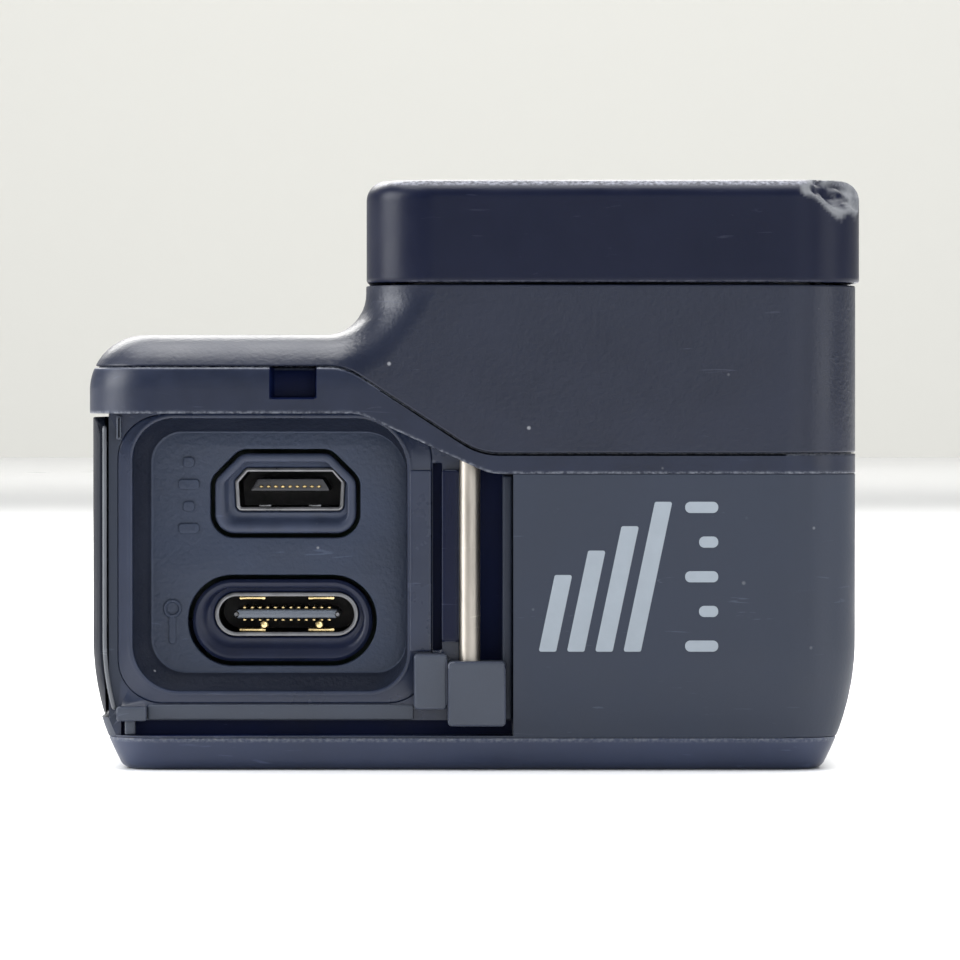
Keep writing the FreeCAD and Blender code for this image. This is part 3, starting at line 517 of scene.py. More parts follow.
def stepped_line(x, first, second):
    """Height of a two-cornered stepped line at x, with both corners rounded."""
    (x0, z0, r0), (x1, z1, r1) = first, second
    low = z1 - 20
    corners = [(-60, low, 0.1), (60, low, 0.1), (60, z1, 0.1), (x1, z1, r1), (x0, z0, r0), (-60, z0, 0.1)]
    loop = outline(corners, 0.0, 24, 200.0)
    top = loop[(loop[:, 1] > low + 5) & (np.abs(loop[:, 0]) < 59)]
    order = np.argsort(top[:, 0], kind="stable")
    return np.interp(x, top[order, 0], top[order, 1])


def shell_line(x):
    """Seam between the front shell and the band."""
    return stepped_line(x, (-7.4, 23.3, 3.0), (0.3, 18.3, 4.0))


def band_line(x):
    """Seam between the band and the housing."""
    return stepped_line(x, (-6.6, 20.56, 2.5), (0.9, 17.1, 3.0))


def smooth(t):
    """Step from zero to one with level ends: 3t^2 - 2t^3."""
    t = np.clip(t, 0, 1)
    return t * t * (3 - 2 * t)


def window(value, low, high, ramp):
    """One between low and high, falling to zero over ramp outside them."""
    return smooth((value - low) / ramp + 1) * smooth((high - value) / ramp + 1)


def edge_inset(z):
    """How far the front edge's rounding has drawn the wall in at height z."""
    over = np.clip(z - (FRONT_Z - FRONT_EDGE_R), 0, FRONT_EDGE_R)
    return FRONT_EDGE_R - np.sqrt(FRONT_EDGE_R ** 2 - over ** 2)


def face_middles(piece):
    """Middle of every face, in millimetres."""
    middle = np.zeros(len(piece.data.polygons) * 3)
    piece.data.polygons.foreach_get("center", middle)
    return middle.reshape(-1, 3) / MM


def shade_faces(piece, finish, rule):
    """Give another finish to the faces whose middle satisfies rule."""
    index = np.zeros(len(piece.data.polygons), int)
    piece.data.polygons.foreach_get("material_index", index)
    piece.data.materials.append(finish)
    index[rule(face_middles(piece))] = len(piece.data.materials) - 1
    piece.data.polygons.foreach_set("material_index", index)


def make_mid_band():
    """Band between the two stepped lines: at each point of the case outline the wall
    rises from the lower to the upper line, follows the rounding of the front edge and
    has a small lip on both edges; a square pocket is pressed in for the door's catch."""
    base = outline(CASE, 0.0, 14, 0.16)
    out = outline(CASE, 1.0, 14, 0.16) - base
    wall = [(0.0, t, 0.0) for t in np.linspace(0.06, 0.94, 27)]
    low_lip = [(-0.06, 0.0, 0.0), (-0.02, 0.0, 0.02), (0.0, 0.0, 0.06)]
    high_lip = [(0.0, 1.0, -0.17), (-0.02, 1.0, -0.12), (-0.07, 1.0, -0.09), (-0.24, 1.0, -0.08),
                (-0.24, 1.0, 0.0)]
    profile = [(-2.2, 0.0, 0.0)] + low_lip + wall + high_lip + [(-2.2, 1.0, 0.0)]
    g, t, dz = (np.array(c)[:, None] for c in zip(*profile))
    x = base[None, :, 0]
    low, high = band_line(x), shell_line(x)
    z = low + t * (high - low) + dz
    push = g - edge_inset(z)
    xy = base[None] + out[None] * push[..., None]
    points = np.concatenate([xy, z[..., None]], 2)
    outer_wall = points[..., 1] < case_low[1] + 1.8
    pocket = window(points[..., 0], -11.6, -9.15, 0.10) * smooth((z - 21.42) / 0.12)
    points[..., 1] += np.where(outer_wall & (g > -1.0), 1.5 * pocket, 0.0)

    def near_edge(co):
        """One along both seams of the band, where the rim tone paints a highlight, falling to zero 0.2 away
        from them.
        """
        gap = np.minimum(co[:, 2] - band_line(co[:, 0]), shell_line(co[:, 0]) - co[:, 2])
        return 1 - smooth((gap - 0.06) / 0.14)

    piece = skinned("mid_band", points, "camera", band_finish, ("mid_band",), closed=True, smooth=40,
                    rim=near_edge)
    # painted shade inside the door catch's pocket
    shade_faces(piece, recess_painted_shade, lambda m: (m[:, 1] > case_low[1] + 0.15) & (m[:, 1] < case_low[1] + 1.7)
                & (m[:, 0] > -11.75) & (m[:, 0] < -9.0) & (m[:, 2] > 21.3) & (m[:, 2] < 23.2))
    return piece


def make_front_shell():
    """Front shell, with the microphone holes and the status light's hole left crisp."""
    def small_holes(m):
        return near(m, -13.2, 9.0, 25.0, (2.7, 0.7, 1.5)) | near(m, 17.2, 24.5, 25.0, (1.2, 1.2, 1.5))

    return eased("front_shell", shell_finish, 0.10, crisp=small_holes)


def make_main_housing():
    """Housing with a satin outer wall, glossier plastic inside the port bay, and painted
    shade in its deep recesses."""
    def in_bay(m):
        """Everything round the port bay, its mouth included."""
        return (m[:, 0] < 2.4) & (m[:, 1] < -26.5) & (m[:, 2] < 20.9)

    def left_crisp(m):
        """The bay and the speaker slots."""
        return in_bay(m) | near(m, -11.0, 30.5, 11.6, (6.0, 2.0, 3.4))

    def bay_walls(m, front):
        """The bay's own faces, from its back as far out as front."""
        across = (m[:, 0] < BAY_RIGHT) & (m[:, 0] > BAY_LEFT)
        return across & (m[:, 1] < -25) & (m[:, 1] > front) & (m[:, 2] < 20.7)

    piece = eased("main_housing", housing_finish, 0.08, crisp=left_crisp)
    shade_faces(piece, port_gloss, lambda m: bay_walls(m, -31.0))
    # painted shade on the bay's faces that lie deep behind its mouth
    shade_faces(piece, recess_painted_shade, lambda m: bay_walls(m, -28.72))
    return piece


def rear_taper(z):
    """How far the wall has curved in at height z: an arc that starts at TAPER_TOP."""
    return TAPER_R - np.sqrt(TAPER_R ** 2 - np.clip(TAPER_TOP - z, 0, TAPER_TOP) ** 2)


def make_bay_blocks():
    """Eased caps over the small blocks and ledges moulded in the port bay."""
    caps = (  # name, left, right, foot, head, front face, finish, ease, corner radius
        ("hinge_ear", -1.52, 1.82, 2.58, 6.32, -30.77, block_finish, 0.16, 0.25),
        ("ear_step", -3.47, -1.54, 3.53, 6.72, -30.32, block_finish, 0.14, 0.22),
        ("corner_lug", -20.62, -18.88, 2.83, 3.67, -29.72, block_finish, 0.12, 0.15),
        ("lug_stem", -20.15, -19.55, 2.02, 2.90, -29.35, block_finish, 0.10, 0.12),
        ("bay_pillar", -3.72, -2.46, 6.80, 17.30, -28.86, port_gloss, 0.08, 0.14),
        ("groove_strip", -1.87, -0.88, 7.38, 17.32, -29.42, strip_finish, 0.12, 0.15),
        ("panel_lip", 1.62, 2.20, 2.90, 17.00, -29.60, housing_finish, 0.14, 0.16),
        # the sill's lighter block finish is a painted highlight below the step line
        ("bay_sill", -18.84, -3.50, 2.88, 3.74, -28.93, block_finish, 0.07, 0.10),
        ("wall_rib", -20.62, -20.34, 19.05, 20.42, -29.3, block_finish, 0.06, 0.08),
    )
    for name, left, right, foot, head, front, finish, ease, corner in caps:
        plate(name, rect(left, right, foot, head, corner), front, CAP_BACK_Y, "xz", "camera", finish, (), ease,
              6)


def make_door_edge_highlight():
    """Painted highlight along the battery door's front edge: a pale bead, a small round
    section carried up the edge, which follows the taper of the wall and closes to a point at both ends."""
    door_low, door_high = span("battery_door")
    foot, head = door_low[2] + 0.25, min(door_high[2] - 0.25, 19.85)
    heights = np.concatenate([[foot, foot + 0.02], np.linspace(foot + 0.15, head - 0.15, 60),
                              [head - 0.02, head]])
    thick = np.concatenate([[0.02, 0.1], np.full(60, 0.15), [0.1, 0.02]])
    around = np.linspace(0, 2 * math.pi, 16, endpoint=False)
    x = -21.33 + rear_taper(heights)[:, None] + 0.85 * thick[:, None] * np.cos(around)
    y = -28.93 + 0.9 * thick[:, None] * np.sin(around)
    rim = np.stack([x, y, np.broadcast_to(heights[:, None], x.shape)], 2)
    skinned("door_edge_highlight_bead", rim, "battery_door", door_edge_painted_highlight, (), smooth=60)


def make_rear_bezel():
    """Rim round the rear screen: the tapered outer wall, a rounded foot, the seat for
    the glass and a ledge under it, all carried round the case outline."""
    splits = (60, 84, 60, 84)
    seat = rect(-18.9, 18.9, -26.9, 26.9, 1.6)
    ledge = rect(-15.6, 15.6, -24.6, 24.6, 0.8)
    arc = 12

    def outer(z, extra=0.0):
        """The tapered case outline at height z, drawn in by extra."""
        return put(loop_with(CASE, splits, -float(rear_taper(z)) - extra, arc), z, "xy")

    rings = [outer(BEZEL_TOP, 0.12), outer(BEZEL_TOP - 0.04, 0.04), outer(BEZEL_TOP - 0.12)]
    rings += [outer(z) for z in np.linspace(1.70, 0.34, 12)]
    rings += [outer(z, e) for z, e in ((0.22, 0.03), (0.10, 0.12), (0.03, 0.24), (0.0, 0.40))]
    rings += [put(loop_with(seat, splits, g, arc), z, "xy") for g, z in
              ((0.30, 0.0), (0.10, 0.03), (0.0, 0.14), (0.0, 1.2), (-0.1, 1.3))]
    rings += [put(loop_with(ledge, splits, g, arc), z, "xy") for g,
              z in ((0.2, 1.3), (0.0, 1.4), (0.0, BEZEL_TOP))]

    def near_top(co):
        """One along the rim's upper edge on the port side, where the rim tone is dust and a painted highlight.
        """
        return smooth((co[:, 2] - (BEZEL_TOP - 0.30)) / 0.15) * (co[:, 1] < -24)

    return skinned("rear_bezel", rings, "camera", bezel_finish, ("rear_bezel",), closed=True, smooth=35,
                   rim=near_top)


# ------------------------------------------------------------ port bay

VIDEO_X, VIDEO_Z, CHARGE_X, CHARGE_Z = -10.7, 16.15, -10.9, 8.9
BAY_Y = -28.75
TUB_FLOOR_Y = BAY_Y + 1.5
TUB_BACK_Y, SLEEVE_BACK_Y, TONGUE_BACK_Y, SOCKET_BACK_Y = -26.0, -24.9, -20.4, -20.0
SOCKET_FRONT_Y = -26.75


def video_pocket(grow=0.0):
    """Six corners of the upper sleeve's pocket, with slanted upper corners."""
    half, low, top, slant, x = 4.35 + grow, 13.35 - grow, 18.5 + grow, 1.7, -10.95
    return [(x - half, low, 1.4 + grow), (x + half, low, 1.4 + grow), (x + half, top - slant, 1.1),
            (x + half - slant, top, 1.1), (x - half + slant, top, 1.1), (x - half, top - slant, 1.1)]


def video_mouth(grow=0.0):
    """Six corners of the small video socket's mouth, flat below and slanted above."""
    half, low, top = 3.2 + grow, VIDEO_Z - 1.25 - grow, VIDEO_Z + 1.25 + grow
    return [(VIDEO_X - half + 0.1, low, 0.35), (VIDEO_X + half - 0.1, low, 0.35),
            (VIDEO_X + half, top - 0.75, 0.3), (VIDEO_X + half - 0.65, top, 0.3),
            (VIDEO_X - half + 0.65, top, 0.3), (VIDEO_X - half, top - 0.75, 0.3)]


def charge_pocket(grow=0.0):
    """Corners of the lower sleeve's pocket, with half-round ends."""
    return rect(-16.6 - grow, -5.65 + grow, 5.92 - grow, 11.2 + grow, 2.6 + grow)


def charge_mouth(grow=0.0):
    """Corners of the charging socket's mouth, with half-round ends."""
    r = 1.28 + grow
    return rect(CHARGE_X - 4.17 - grow, CHARGE_X + 4.17 + grow, CHARGE_Z - r, CHARGE_Z + r, r - HAIR)


def make_tub_rim():
    """Plate round the port bay's tub: outer edge, flat face, a thin raised bead, and
    walls that slope in to the floor by a different amount on each side."""
    plate_edge = rect(-20.6, -2.42, 3.8, 20.5, 2.6)
    rim = [(-19.75, 4.5, 2.7), (-3.85, 4.5, 2.3), (-3.85, 20.3, 3.0), (-19.75, 20.3, 2.4)]
    floor = [(-18.7, 5.55, 2.0), (-3.95, 5.55, 1.7), (-3.95, 19.5, 2.4), (-18.7, 19.5, 1.8)]
    splits = (40, 40, 40, 40)

    def loop(corners, grow, y):
        """Outline pushed out by grow and laid at depth y."""
        return put(loop_with(corners, splits, grow, 16), y, "xz")

    a, b = loop_with(rim, splits, 0.0, 16), loop_with(floor, splits, 0.0, 16)

    def wall(t, y):
        """Loop the share t of the way from the rim to the floor, at depth y."""
        return put(a * (1 - t) + b * t, y, "xz")

    rings = [loop(plate_edge, 0.0, TUB_BACK_Y), loop(plate_edge, 0.0, BAY_Y + 0.12),
             loop(plate_edge, -0.04, BAY_Y + 0.03), loop(plate_edge, -0.14, BAY_Y)]
    rings += [loop(rim, g, y) for g, y in ((0.32, BAY_Y), (0.24, BAY_Y - 0.05), (0.12, BAY_Y - 0.08),
                                           (0.0, BAY_Y - 0.05))]
    rings += [wall(t, BAY_Y + 1.42 * t ** 0.85) for t in (0.03, 0.08, 0.15, 0.3, 0.45, 0.6, 0.75, 0.86)]
    rings += [wall(t, y) for t, y in ((0.93, TUB_FLOOR_Y - 0.12), (0.98, TUB_FLOOR_Y - 0.05),
                                      (1.04, TUB_FLOOR_Y - 0.012), (1.10, TUB_FLOOR_Y + 0.004),
                                      (1.14, TUB_FLOOR_Y + 0.008))]
    rings += [wall(1.14, TUB_FLOOR_Y + 0.3), loop(plate_edge, -0.3, TUB_BACK_Y)]
    piece = skinned("tub_rim", rings, "camera", port_gloss, ("port_plate",), closed=True, smooth=50)
    # painted shade on the tub's sloping walls
    shade_faces(piece, tub_wall_painted_shade, lambda m: m[:, 1] > BAY_Y + 0.03)
    shade_faces(piece, port_finish, lambda m: m[:, 1] > TUB_FLOOR_Y - 0.08)
    return piece


def cut_sheet(name, loops, y_front, y_back, body, finish, ease=0.08):
    """Flat sheet facing -Y with holes: the first loop is its outline and the others
    are cut out of it; front edges are rounded by ease."""
    curve = bpy.data.curves.new(name, "CURVE")
    curve.dimensions = "2D"
    curve.fill_mode = "BOTH"
    curve.extrude = ((y_back - y_front) / 2 - ease) * MM
    curve.bevel_depth = ease * MM
    curve.bevel_resolution = 2
    curve.offset = -ease * MM
    for loop in loops:
        spline = curve.splines.new("POLY")
        spline.points.add(len(loop) - 1)
        flat = np.zeros((len(loop), 4))
        flat[:, :2] = loop * MM
        flat[:, 3] = 1
        spline.points.foreach_set("co", flat.ravel())
        spline.use_cyclic_u = True
    holder = bpy.data.objects.new(name + "_curve", curve)
    bpy.context.scene.collection.objects.link(holder)
    bpy.context.view_layer.update()
    mesh = bpy.data.meshes.new_from_object(holder.evaluated_get(bpy.context.evaluated_depsgraph_get()))
    bpy.data.objects.remove(holder)
    bpy.data.curves.remove(curve)
    count = len(mesh.vertices)
    co = np.zeros(count * 3)
    mesh.vertices.foreach_get("co", co)
    co = co.reshape(-1, 3)
    turned_co = np.stack([co[:, 0], (y_front + y_back) / 2 * MM - co[:, 2], co[:, 1]], 1)
    mesh.vertices.foreach_set("co", turned_co.ravel())
    work = bmesh.new()
    work.from_mesh(mesh)
    bmesh.ops.remove_doubles(work, verts=work.verts, dist=WELD)
    bmesh.ops.recalc_face_normals(work, faces=work.faces)
    work.to_mesh(mesh)
    work.free()
    mesh.name = name
    mesh.polygons.foreach_set("use_smooth", np.ones(len(mesh.polygons), bool))
    mesh.set_sharp_from_angle(angle=math.radians(30))
    mesh.materials.clear()
    mesh.materials.append(finish)
    piece = bpy.data.objects.new(name, mesh)
    bpy.context.scene.collection.objects.link(piece)
    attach(piece, body)
    return piece


def make_tub_floor():
    """Floor of the tub, with the two sleeves' pockets cut out of it."""
    floor = outline([(-18.75, 5.50, 2.0), (-3.9, 5.50, 1.7), (-3.9, 19.55, 2.4), (-18.75, 19.55, 1.8)], 0.0, 10,
                    3.0)
    holes = [outline(video_pocket(), 0.0, 14, 3.0), outline(charge_pocket(), 0.0, 20, 3.0)]
    piece = cut_sheet("tub_floor", [floor] + holes, TUB_FLOOR_Y, -25.9, "camera", port_finish, 0.09)
    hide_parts("port_plate")


def make_sleeve(name, pocket, mouth, splits, node, lift, lip, finish):
    """Rubber sleeve round a socket: outer wall, rounded lip, a face that dips towards
    the mouth, and the mouth's own wall. The outer loop turns into the mouth's loop."""
    arc = 14
    front = TUB_FLOOR_Y + lift

    def outer(grow, y):
        """The pocket's loop pushed out by grow, at depth y."""
        return put(loop_with(pocket, splits, grow, arc), y, "xz")

    def inner(grow, y):
        """The mouth's loop pushed out by grow, at depth y."""
        return put(loop_with(mouth, splits, grow, arc), y, "xz")

    def between(t, y):
        """Loop the share t of the way from the pocket to the mouth, at depth y."""
        o, m = loop_with(pocket, splits, -0.75, arc), loop_with(mouth, splits, 0.32, arc)
        return put(o * (1 - t) + m * t, y, "xz")

    rings = [outer(-0.26, SLEEVE_BACK_Y), outer(-0.26, front + 0.16), outer(-0.29, front + 0.07),
             outer(-0.36, front + 0.01), outer(-0.45, front - lip)]
    rings += [outer(-0.60, front - lip), outer(-0.72, front + 0.02)]
    rings += [between(t, front + 0.05 + 0.42 * smooth(np.array(t)).item()) for t in (0.05, 0.25, 0.5, 0.75,
                                                                                     0.95)]
    rings += [inner(0.22, front + 0.46), inner(0.12, front + 0.44), inner(0.03, front + 0.52),
              inner(0.0, front + 0.6), inner(0.0, SLEEVE_BACK_Y)]
    return skinned(name, rings, "camera", finish, (node,), closed=True, smooth=42)


def make_socket_shell(name, mouth, splits, wall, node, finish):
    """Folded steel shell of a socket: the mouth's loop with a rounded front lip, an
    inner wall, and a closed back."""
    y0, y1 = SOCKET_FRONT_Y, SOCKET_BACK_Y
    profile = [(0.0, y1), (0.0, y0 + 0.1), (-0.03, y0 + 0.03), (-wall / 2, y0), (-wall + 0.03, y0 + 0.03),
               (-wall, y0 + 0.1), (-wall, y1 - 0.3)]
    rings = [put(loop_with(mouth, splits, g, 10), y, "xz") for g, y in profile]
    piece = skinned(name, rings, "camera", finish, (node,), closed=False, smooth=35)
    # painted shade on the steel behind the socket's front lip
    shade_faces(piece, inner_steel_painted_shade, lambda m: m[:, 1] > y0 + 0.12)
    return piece


def make_ports():
    """Tub, sleeves, socket shells, tongues and every contact and spring in the sockets."""
    make_tub_rim()
    make_tub_floor()
    six_splits, pill_splits = (14, 8, 6, 10, 6, 8), (20, 2, 20, 2)
    make_sleeve("video_sleeve", video_pocket(), video_mouth(), six_splits, "hdmi_seal", 0.12, 0.02,
                sleeve_finish)
    make_sleeve("charge_sleeve", charge_pocket(), charge_mouth(), pill_splits, "usb_seal", 0.12, 0.08,
                sleeve_dark)
    make_socket_shell("video_socket_shell", video_mouth(), six_splits, 0.24, "hdmi_shell", socket_steel)
    make_socket_shell("charge_socket_shell", charge_mouth(), pill_splits, 0.26, "usb_shell", socket_steel)
    blade = [(VIDEO_X - 2.35, VIDEO_Z - 0.1, 0.08), (VIDEO_X + 2.35, VIDEO_Z - 0.1, 0.08),
             (VIDEO_X + 1.9, VIDEO_Z + 0.62, 0.1), (VIDEO_X - 1.9, VIDEO_Z + 0.62, 0.1)]
    plate("video_tongue", blade, -26.25, TONGUE_BACK_Y, "xz", "camera", socket_plastic, ("hdmi_tongue",), 0.06,
          5, 0.5)
    blade = rect(CHARGE_X - 3.0, CHARGE_X + 3.0, CHARGE_Z - 0.25, CHARGE_Z + 0.25, 0.22)
    plate("charge_tongue", blade, -26.2, TONGUE_BACK_Y, "xz", "camera", tongue_pale, ("usb_tongue",), 0.12, 6,
          0.5)

    def row(name, size, shifts, finish, replaces=()):
        """Small bars of one size (wide, deep, tall, ease), one at each shift."""
        unit, faces = pad_unit(*size)
        repeated(name, unit, faces, shifts, "camera", finish, replaces)

    sides = (-1, 1)
    row("video_contacts", (0.24, 3.6, 0.16, 0.05), [(VIDEO_X + 0.42 * (i - 4), -26.36,
                                                     VIDEO_Z + 0.16) for i in range(9)], contact_gold,
        ("hdmi_contacts",))
    row("charge_contacts", (0.22, 4.4, 0.12, 0.04),
        [(CHARGE_X + 0.45 * (i - 5.5), -25.9, CHARGE_Z + side * 0.36) for side in sides for i in range(12)],
        contact_gold, ("usb_contacts",))
    row("charge_latch_plates", (0.34, 4.2, 0.34, 0.1),
        [(CHARGE_X + side * 2.95, -26.3, CHARGE_Z - 0.02) for side in sides], socket_steel)
    row("charge_ground_springs", (1.5, 3.0, 0.16, 0.05),
        [(CHARGE_X + side * 2.0, -26.2, CHARGE_Z + up * 0.93) for side in sides for up in sides], contact_gold)
    dome = [(0.02, -26.1), (0.24, -26.3), (0.24, -26.42), (0.17, -26.5), (0.02, -26.53)]
    for side, x in (("left", CHARGE_X - 1.3), ("right", CHARGE_X + 1.9)):
        turned("charge_rivet_" + side, dome, (x, 0, CHARGE_Z - 0.62), "y", "camera", contact_gold, (), 20)
    row("video_ground_springs", (0.7, 1.6, 0.12, 0.04),
        [(VIDEO_X + side * 1.45, -26.5, VIDEO_Z - 0.95) for side in sides], socket_steel)


def make_port_signs():
    """Small raised signs beside the sockets: a stack of short bars and a ring on a stem."""
    front, back = TUB_FLOOR_Y - 0.13, TUB_FLOOR_Y + 0.1
    bars_x, ring_x = -16.55, -17.5
    for i, half in enumerate((0.62, 0.34, 0.62, 0.34)):
        z = 13.9 + 1.28 * i
        plate("bar_sign_%d" % (i + 1), rect(bars_x - half, bars_x + half, z - 0.3, z + 0.3, 0.2), front, back,
              "xz", "camera", port_finish, (), 0.07, 5)
    stem = rect(ring_x - 0.21, ring_x + 0.21, 7.2, 8.8, 0.16)
    plate("stem_sign", stem, front, back, "xz", "camera", port_finish, (), 0.05, 4)
    ring = rect(ring_x - 0.55, ring_x + 0.55, 8.7, 9.8, 0.54)
    section = ((0.0, back), (0.0, front + 0.06), (-0.06, front), (-0.16, front), (-0.22, front + 0.06),
               (-0.22, back))
    skinned("ring_sign", [put(outline(ring, grow, 8), y, "xz") for grow, y in section], "camera", port_finish,
            closed=True)


def make_hinge_rod():
    """Round steel rod with eased ends, whose radius wavers by a few thousandths."""
    low, high = span("door_hinge_rod")
    centre = ((low[0] + high[0]) / 2, (low[1] + high[1]) / 2, 0)
    r = (high[0] - low[0]) / 2
    heights = np.linspace(low[2] + 0.15, high[2] - 0.15, 60)
    body = [(r * (1 + 0.004 * math.sin(5.1 * z) * math.sin(1.7 * z)), z) for z in heights]
    profile = [(0.02, low[2]), (r - 0.15, low[2])] + body + [(r - 0.15, high[2]), (0.02, high[2])]
    turned("door_hinge_rod", profile, centre, "z", "camera", rod_steel, ("door_hinge_rod",), 48)


# ------------------------------------------------------------ lens

cover_low, cover_high = span("lens_cover")
COVER_X = (cover_low[0] + cover_high[0]) / 2
COVER_Y = (cover_low[1] + cover_high[1]) / 2
COVER = rect(cover_low[0], cover_high[0], cover_low[1], cover_high[1], 4.0)
CHIP_FACE = np.array([0.639, -0.530, 0.556])  # unit normal of the face the corner broke along
CHIP_DEPTH = 47.16                            # that face's distance from the origin


def rubble(p):
    """Uneven height made of a few crossed waves of shrinking size."""
    x, y, z = p[..., 0], p[..., 1], p[..., 2]
    big = np.sin(1.9 * x + 1.3 * z + 0.4) * np.sin(2.3 * y - 1.1 * z + 1.0)
    middle = np.sin(5.3 * x - 4.1 * y + 0.7) * np.sin(4.7 * z + 3.1 * x)
    small = np.sin(13.1 * x + 9.7 * z) * np.sin(11.9 * y - 12.3 * z + 2.0)
    return 0.20 * big + 0.09 * middle + 0.04 * small


def chip_height(p):
    """Height of points above the rough broken face."""
    return p @ CHIP_FACE - CHIP_DEPTH + rubble(p)


def make_lens_cover():
    """Square cover carried round its outline: eased foot, tall wall, rounded top edge,
    flat rim, glass seat and skirt. One corner is broken off along a rough slanted face:
    every point above that face is pressed back onto it."""
    z0, z1 = cover_low[2] - 0.05, cover_high[2]
    top_r = 1.15
    profile = [(-0.5, z0), (-0.14, z0), (-0.04, z0 + 0.04), (0.0, z0 + 0.14)]
    profile += [(0.0, z) for z in np.linspace(z0 + 0.3, z1 - top_r - 0.1, 34)]
    rounding = np.radians(np.linspace(0, 90, 16))
    profile += [(top_r * (math.cos(a) - 1), z1 - top_r * (1 - math.sin(a))) for a in rounding]
    profile += [(g, z1) for g in np.linspace(-1.25, -2.2, 6)]
    profile += [(-2.36, z1 - 0.04), (-2.44, z1 - 0.16), (-2.46, z1 - 1.5), (-3.87, z1 - 1.6), (-3.87, z1 - 2.4),
                (-1.38, z1 - 2.4), (-1.38, z0)]

    def chipped(rings):
        """Points above the broken face pressed back onto it."""
        over = np.maximum(chip_height(rings), 0.0)
        return rings - over[..., None] * CHIP_FACE

    def fractured(points):
        """One on the broken face, falling to zero 0.2 away from it."""
        on_break = np.clip(1.2 - np.abs(chip_height(points)) / 0.16, 0, 1)
        return on_break * (points @ CHIP_FACE > CHIP_DEPTH - 0.6)

    def top_edge(co):
        """High along the top edge, where the rim tone is rubbed paint and a painted highlight, and a little
        along the foot.
        """
        away = np.maximum(np.abs(co[:, 0] - COVER_X), np.abs(co[:, 1] - COVER_Y))
        top = smooth((co[:, 2] - (z1 - 0.38)) / 0.16) * (1 - smooth((co[:, 2] - (z1 - 0.07)) / 0.06))
        top = top * smooth((away - 12.4) / 0.5)
        foot = 0.3 * (1 - smooth((co[:, 2] - (z0 + 0.05)) / 0.08)) * smooth((away - 13.8) / 0.2)
        return np.maximum(top, foot)

    return carried("lens_cover", COVER, profile, "xy", "lens_cover", cover_finish, ("lens_cover",), closed=True,
                   arc=36, step=0.4, smooth=38, shape=chipped, worn=fractured, rim=top_edge)


def make_lens():
    """Cover glass, stepped barrel, front ring, domed front lens and the cover's seal."""
    low, high = span("lens_cover_glass")
    glass = [(-2.85, low[2]), (-2.62, low[2]), (-2.52, low[2] + 0.1), (-2.50, high[2] - 0.15),
             (-2.56, high[2] - 0.04), (-2.66, high[2]), (-2.85, high[2])]
    carried("lens_cover_glass", COVER, glass, "xy", "lens_cover", glass_front, ("lens_cover_glass",), arc=14,
            step=1.5)
    centre = (COVER_X, COVER_Y, 0)
    steps = []
    for i in range(7):
        r, z = 8.05 - 0.24 * i, 30.9 - 0.26 * i
        steps += [(r, z), (r - 0.04, z - 0.20), (r - 0.20, z - 0.24)]
    barrel = [(9.2, 19.5), (9.2, 30.75), (9.1, 30.9), (8.2, 30.9)] + steps
    barrel += [(6.4, 28.9), (6.4, 22.0), (4.6, 22.0), (4.6, 19.5)]
    turned("lens_barrel", barrel, centre, "z", "camera", barrel_finish, ("lens_barrel",), 120, closed=True)
    ring = [(9.2, 30.9), (9.2, 31.1), (9.1, 31.22), (8.9, 31.25), (8.2, 31.18), (7.75, 31.0), (7.6, 30.92)]
    turned("lens_ring", ring, centre, "z", "camera", ring_black, ("lens_ring",), 120, closed=True)
    # the lens's outer face is a sphere of radius 13 and its inner face one of radius 9
    outer = [(r, 19.0 + math.sqrt(13 ** 2 - r * r)) for r in np.linspace(0.05, 6.43, 20)]
    inner = [(r, 21.8 + math.sqrt(9 ** 2 - r * r)) for r in np.linspace(5.1, 0.05, 16)]
    flange = [(6.6, 30.3), (7.5, 30.3), (7.6, 30.2), (7.6, 29.3), (7.5, 29.2), (5.3, 29.2)]
    turned("front_lens", outer + flange + inner, centre, "z", "camera", lens_glass, ("front_lens",), 96)
    around = np.linspace(0, 2 * math.pi, 16, endpoint=False)
    seal = [(10.9 + 0.5 * math.cos(a), 31.02 + 0.36 * math.sin(a)) for a in around]
    turned("lens_cover_seal", seal, centre, "z", "camera", seal_rubber, ("lens_cover_seal",), 120, closed=True,
           smooth=180)


# ------------------------------------------------------------ buttons, screens and doors

def make_shutter_button():
    """Turned button with a shallow dish, a groove for the red ring, a low swell round it
    and a rounded rim, and the ring in its groove."""
    low, high = span("shutter_button")
    y, z = (low[1] + high[1]) / 2, (low[2] + high[2]) / 2
    r, face, stem_top = 5.0, high[0], low[0] + 2.45
    profile = [(q, face - 0.05 - 0.05 * math.cos(q / 2.2)) for q in np.linspace(0.05, 2.2, 8)]
    profile += [(2.3, face - 0.08), (2.32, face - 0.25), (2.88, face - 0.25), (2.9, face - 0.08)]
    profile += [(q, face - 0.06 + 0.06 * math.sin((q - 2.9) / 1.55 * math.pi)) for q in np.linspace(3.0, 4.5,
                                                                                                    8)]
    rounding = np.radians(np.linspace(15, 90, 6))
    profile += [(r - 0.35 + 0.35 * math.sin(a), face - 0.35 + 0.35 * math.cos(a)) for a in rounding]
    profile += [(r, stem_top + 0.15), (4.85, stem_top), (1.0, stem_top), (1.0, low[0] + 0.1), (0.05, low[0])]
    turned("shutter_button", profile, (0, y, z), "x", "shutter_button", button_finish, ("shutter_button",), 96)
    ring = [(2.3, face - 0.25), (2.3, face - 0.09), (2.4, face - 0.05), (2.8, face - 0.05), (2.9, face - 0.09),
            (2.9, face - 0.25)]
    turned("record_ring", ring, (0, y, z), "x", "shutter_button", red_finish, ("record_ring",), 96, closed=True)


